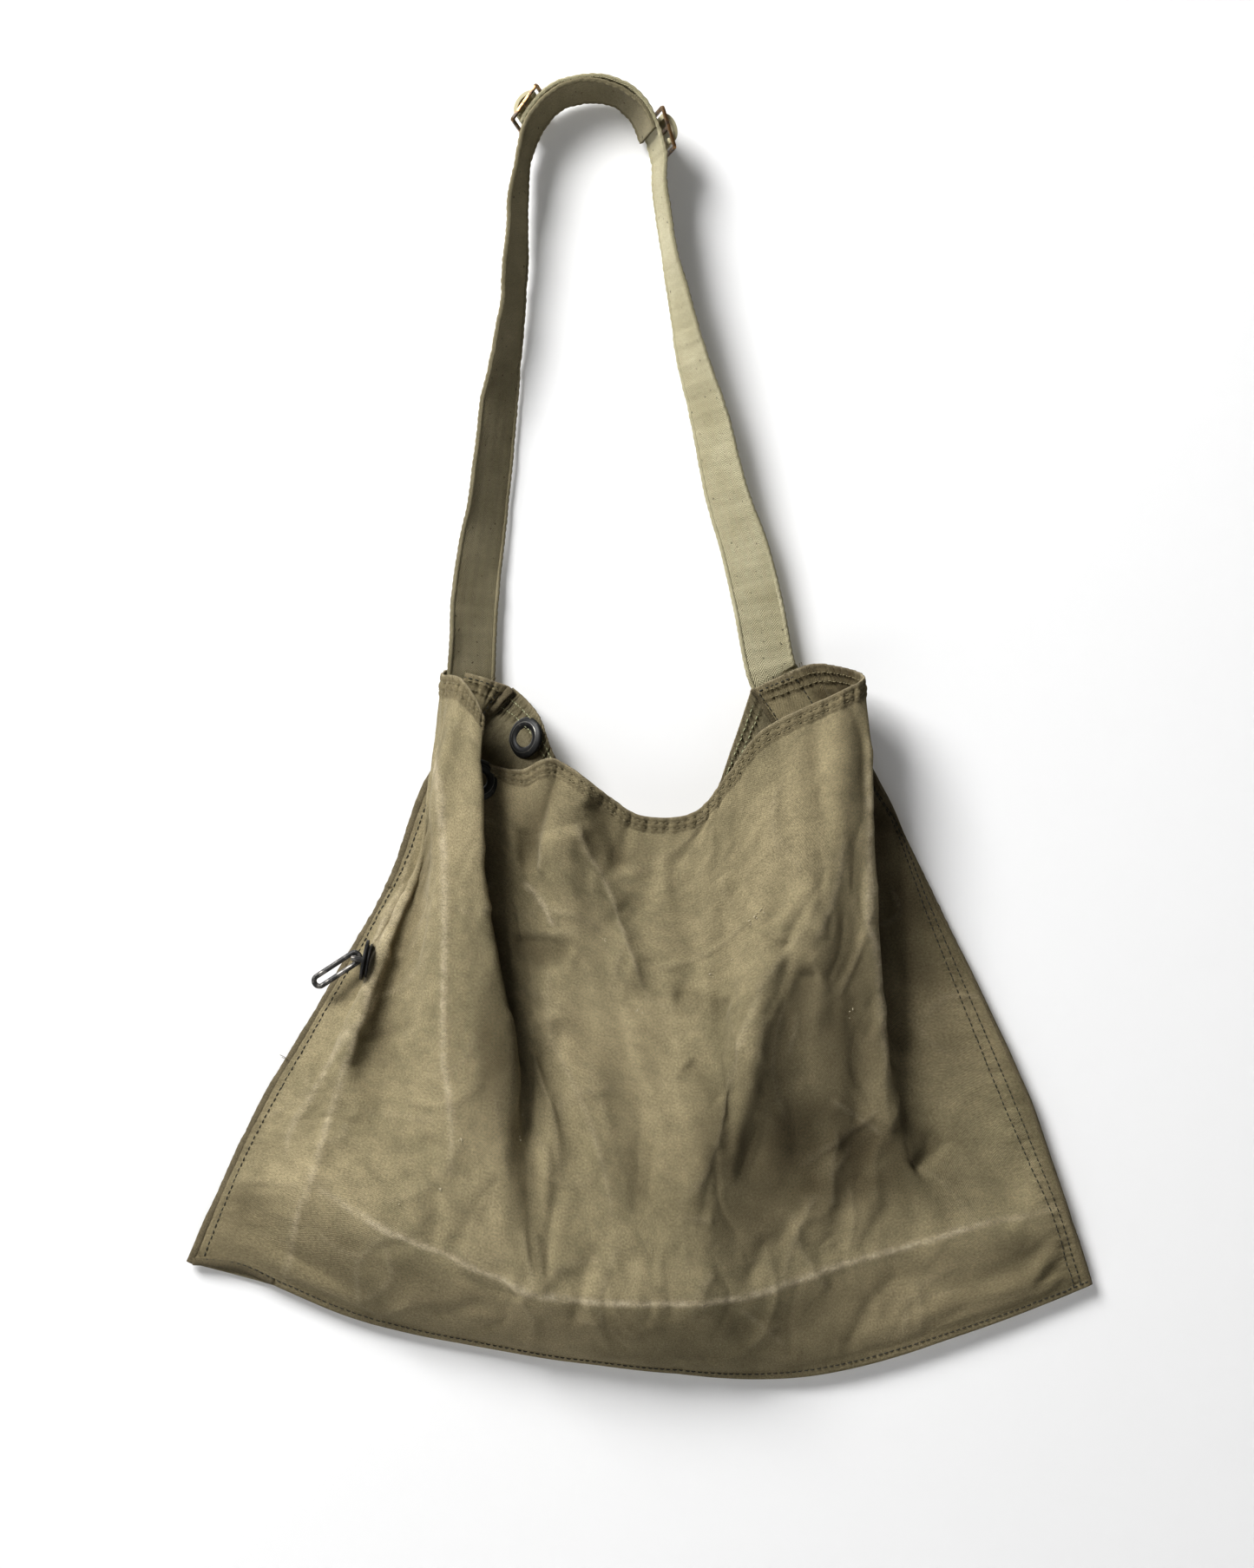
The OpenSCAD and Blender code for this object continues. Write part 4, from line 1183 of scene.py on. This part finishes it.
# Painted shade in the recess beside the right fold edge and in the tuck behind the left column
add_recess_shade(front, 16.3, 18.5, 0.95, 5.0)
add_recess_shade(front, 5.6, 7.2, 0.6, 4.5)
front_piece = front.build("front_cloth_canvas", canvas)
place(front_piece, "sack", "canvas", "front_cloth")

back = Cloth(BACK_ROWS, 1.0, len(BACK_ROWS[0]) - 1)
add_wrinkles(back, BACK_WRINKLES, 5, 0.5)
add_hem(back)
back_piece = back.build("back_panel_canvas", canvas_back)
place(back_piece, "sack", "canvas_back", "back_panel")

# Stitching
place(thread_rows("front_hem_stitches", hem_lines(front) + hem_lines(front, -1.0),
                  hem_thread), "sack", "pale_thread", "front_hem_stitching")
place(thread_rows("back_hem_stitches", hem_lines(back) + hem_lines(back, -1.0),
                  pale_thread), "sack", "pale_thread", "back_hem_stitching")
place(thread_rows("left_seam_stitches", [seam_line(front, LEFT_SEAM, LEFT_STITCH_INSET)],
                  dark_thread), "sack", "dark_thread", "left_seam_stitching")
place(thread_rows("right_seam_stitches",
                  [seam_line(front, RIGHT_SEAM, -inset) for inset in RIGHT_STITCH_INSETS],
                  dark_thread), "sack", "dark_thread", "right_seam_stitching")
across = np.arange(6, front.u_mm[-1] - 6, 1.0)
place(thread_rows("bottom_seam_stitches",
                  [cloth_line(front, across, front.v_mm[-1] - LEFT_STITCH_INSET)],
                  dark_thread), "sack", "dark_thread", "bottom_seam_stitching")

# Folded seam edges
down = np.arange(0, front.v_mm[-1], 2.0)
mouth_down = np.arange(0, BACK_SEAM_FOLD, 2.0)
corner_across = np.arange(0, 46, 1.5)
for name, u_mm, v_mm, outward, reach, thick, seed, nodes in (
        ("left_seam_fold", 0.0, down, 1.0, 5.0, 1.5, 3, ["left_seam_binding"]),
        ("right_seam_fold", front.column_mm(RIGHT_SEAM), down, -1.0, 3.0, 1.4, 4, []),
        ("right_back_fold", front.u_mm[-1], mouth_down, -1.0, 4.0, 1.6, 8, []),
        ("corner_binding", corner_across, front.v_mm[-1], -1.0, 5.0, 2.2, 6,
         ["bottom_corner_binding"])):
    piece = edge_fold(name, front, u_mm, v_mm, outward, reach, thick, binding, seed)
    place(piece, "sack", "binding", *nodes)

# Strap: each half runs down into its sewn tail on the sack
LEFT_FULL = LEFT_TAIL[::-1] + LEFT_ROUTE
RIGHT_FULL = RIGHT_TAIL[::-1] + RIGHT_ROUTE
for name, route, nodes, rising, wave, cloth in (
        ("left_webbing", LEFT_FULL, ("strap_left_half", "left_strap_tail"), False,
         (0.5, 1.4), shaded_strap_cloth),
        ("right_webbing", RIGHT_FULL, ("strap_right_half", "right_strap_tail"), True,
         (0.4, 0.5), strap_cloth)):
    piece = webbing(name, route, rising, wave, cloth)
    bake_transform(piece)
    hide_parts(*nodes)

BOX_INSET = 4.0
BOX_LENGTH = 34.0


def box_on_cloth(cloth, first, last, depth):
    """Lines of a sewn box on a cloth's inner face, between two guide columns."""
    left, right = cloth.column_mm(first), cloth.column_mm(last)
    corners = [(left, 3.5), (right, 3.5), (right, depth), (left, depth)]
    return [cloth_line(cloth, np.linspace(u0, u1, 40), np.linspace(v0, v1, 40), -1.0)
            for (u0, v0), (u1, v1) in zip(corners, corners[1:] + corners[:1])]


def box_stitches(name, route, node, cloth_lines):
    """A sewn box with a cross where a strap tail meets the cloth."""
    _, (centre, across_way, normal) = strap_line(route, False)
    face = -1.0 if route[0][0] > 0 else 1.0

    def at(along, aside):
        i = np.clip((along / WEBBING_STEP).astype(int), 0, len(centre) - 1)
        lift = normal[i] * face * (FACE_HALF_T + 0.3)
        return centre[i] + across_way[i] * aside[:, None] + lift, normal[i] * face

    half = WEBBING_W / 2 - BOX_INSET
    corners = [(4, -half), (4 + BOX_LENGTH, -half), (4 + BOX_LENGTH, half), (4, half)]
    sides = list(zip(corners, corners[1:] + corners[:1]))
    sides += [(corners[0], corners[2]), (corners[1], corners[3])]
    lines = []
    for (a0, s0), (a1, s1) in sides:
        t = np.linspace(0, 1, 40)
        lines.append(at(a0 + (a1 - a0) * t, s0 + (s1 - s0) * t))
    place(thread_rows(name, lines + cloth_lines, dark_thread), "sack", "dark_thread", node)


box_stitches("left_tail_stitches", LEFT_FULL, "left_tail_stitching",
             box_on_cloth(front, 0.3, 1.6, 4 + BOX_LENGTH))
box_stitches("right_tail_stitches", RIGHT_FULL, "right_tail_stitching",
             box_on_cloth(front, 18.7, 19.9, 4 + BOX_LENGTH))

# Sliders
for side in ("left", "right"):
    rounded_copy(side + "_slider_frame", side + "_slider_metal", side + "_slider", bronze,
                 0.5, "bronze")
    rounded_copy(side + "_slider_loop", side + "_slider_webbing", side + "_slider",
                 strap_cloth, 0.9, "webbing")

# Grommets
GROMMETS = {"back": ((-47, -28.5, -486), (-0.61, -0.78, 0.15)),
            "front": ((-83, -39.5, -518), (0.28, -0.955, 0.1))}
FLANGE = [(7.0, -2.4), (7.0, 0.4), (7.6, 1.8), (9.0, 2.9), (11.0, 3.3), (13.2, 3.0),
          (15.0, 2.0), (16.0, 0.8), (15.6, 0.3), (8.2, 0.3), (7.8, -2.4)]
FUNNEL = [(12.6, 2.2), (12.2, 3.35), (10.4, 3.0), (8.6, 1.9), (7.3, 0.2), (6.8, -2.0),
          (7.6, -2.0), (8.2, 0.2)]
WASHER = [(8.0, -2.0), (8.0, -0.9), (14.6, -0.9), (15.0, -1.3), (14.4, -1.8), (10.0, -2.3)]
for side, (at, direction) in GROMMETS.items():
    place(lathe(side + "_grommet_flange", at, direction, FLANGE, black_steel), "sack",
          "black_steel", side + "_grommet_barrel")
    place(lathe(side + "_grommet_funnel", at, direction, FUNNEL, funnel_steel), "sack",
          "worn_steel")
    place(lathe(side + "_grommet_ring", at, direction, WASHER, worn_steel), "sack",
          "worn_steel", side + "_grommet_washer")

# Lock staple
for node, body, bevel, finish, slot in (
        ("staple_plate", "sack", 0.5, black_steel, "black_steel"),
        ("staple_bar", "sack", 0.3, worn_steel, "worn_steel"),
        ("staple_backing_plate", "sack", 0.3, black_steel, "black_steel"),
        ("staple_link", "link", 0, worn_steel, "worn_steel")):
    rounded_copy(node, node + "_metal", body, finish, bevel, slot)

# Paint specks, as x, z seen from the camera on the wall behind, and loose threads
SPECKS = [(131, -622), (126, -628), (134, -617), (38, -694), (-53, -794), (-52, -775),
          (201, -695), (199, -702), (-143, -844), (50, -879), (-97, -794), (-111, -832),
          (-85, -590), (12, -640), (96, -668), (112, -655)]
FRONT_COLUMNS = (3, 16)


def specks(cloth, spots, material):
    """Little crumbs of dried paint stuck to the cloth."""
    x, z = seen_from_front(cloth.grid)
    reach = column_mask(cloth, *FRONT_COLUMNS) > 0.5
    normals = cloth.normals()
    rng = np.random.default_rng(17)
    starts, ends, ups = [], [], []
    for sx, sz in spots:
        gap = np.where(reach, np.hypot(x - sx, z - sz), 1e9)
        j, i = np.unravel_index(gap.argmin(), gap.shape)
        for _ in range(rng.integers(2, 5)):
            start = cloth.grid[j, i] + rng.normal(0, 1.3, 3) * (1, 0.1, 1)
            starts.append(start + normals[j, i] * CANVAS_T / 2)
            ends.append(starts[-1] + rng.normal(0, 0.8, 3) * (1, 0.1, 1))
            ups.append(normals[j, i])
    return stitches("paint_specks", np.array(starts), np.array(ends), np.array(ups), material)


speck_paint = plain_material("speck_paint", (0.42, 0.37, 0.26), 0.7)
place(specks(front, SPECKS, speck_paint), "sack", "canvas")


def fray_spots(cloth, places, way):
    u, v = (np.array(k, float) for k in zip(*places))
    points, _ = cloth_line(cloth, u, v)
    return [(point, way) for point in points]


hair_places = [(front.column_mm(k), 1.0) for k in (0.6, 1.4, 2.6, 18.4)]
side_places = [(0.0, 150.0), (0.0, 290.0), (0.0, front.v_mm[-1] - 12)]
corner_places = [(front.column_mm(19.0), 0.0)]
for name, spots, way, material, seed, each, length, slot in (
        ("mouth_hairs", hair_places, (0.2, -0.3, 1.0), binding, 21, 3, 3.5, "canvas"),
        ("left_seam_hairs", side_places, (-1.0, -0.2, 0.1), binding, 22, 3, 4.0, "binding"),
        ("corner_hairs", corner_places, (0.3, -0.3, 1.0), hem_thread, 23, 10, 4.0, "canvas")):
    hairs = frays(name, fray_spots(front, spots, way), material, seed, each, length)
    place(hairs, "sack", slot)
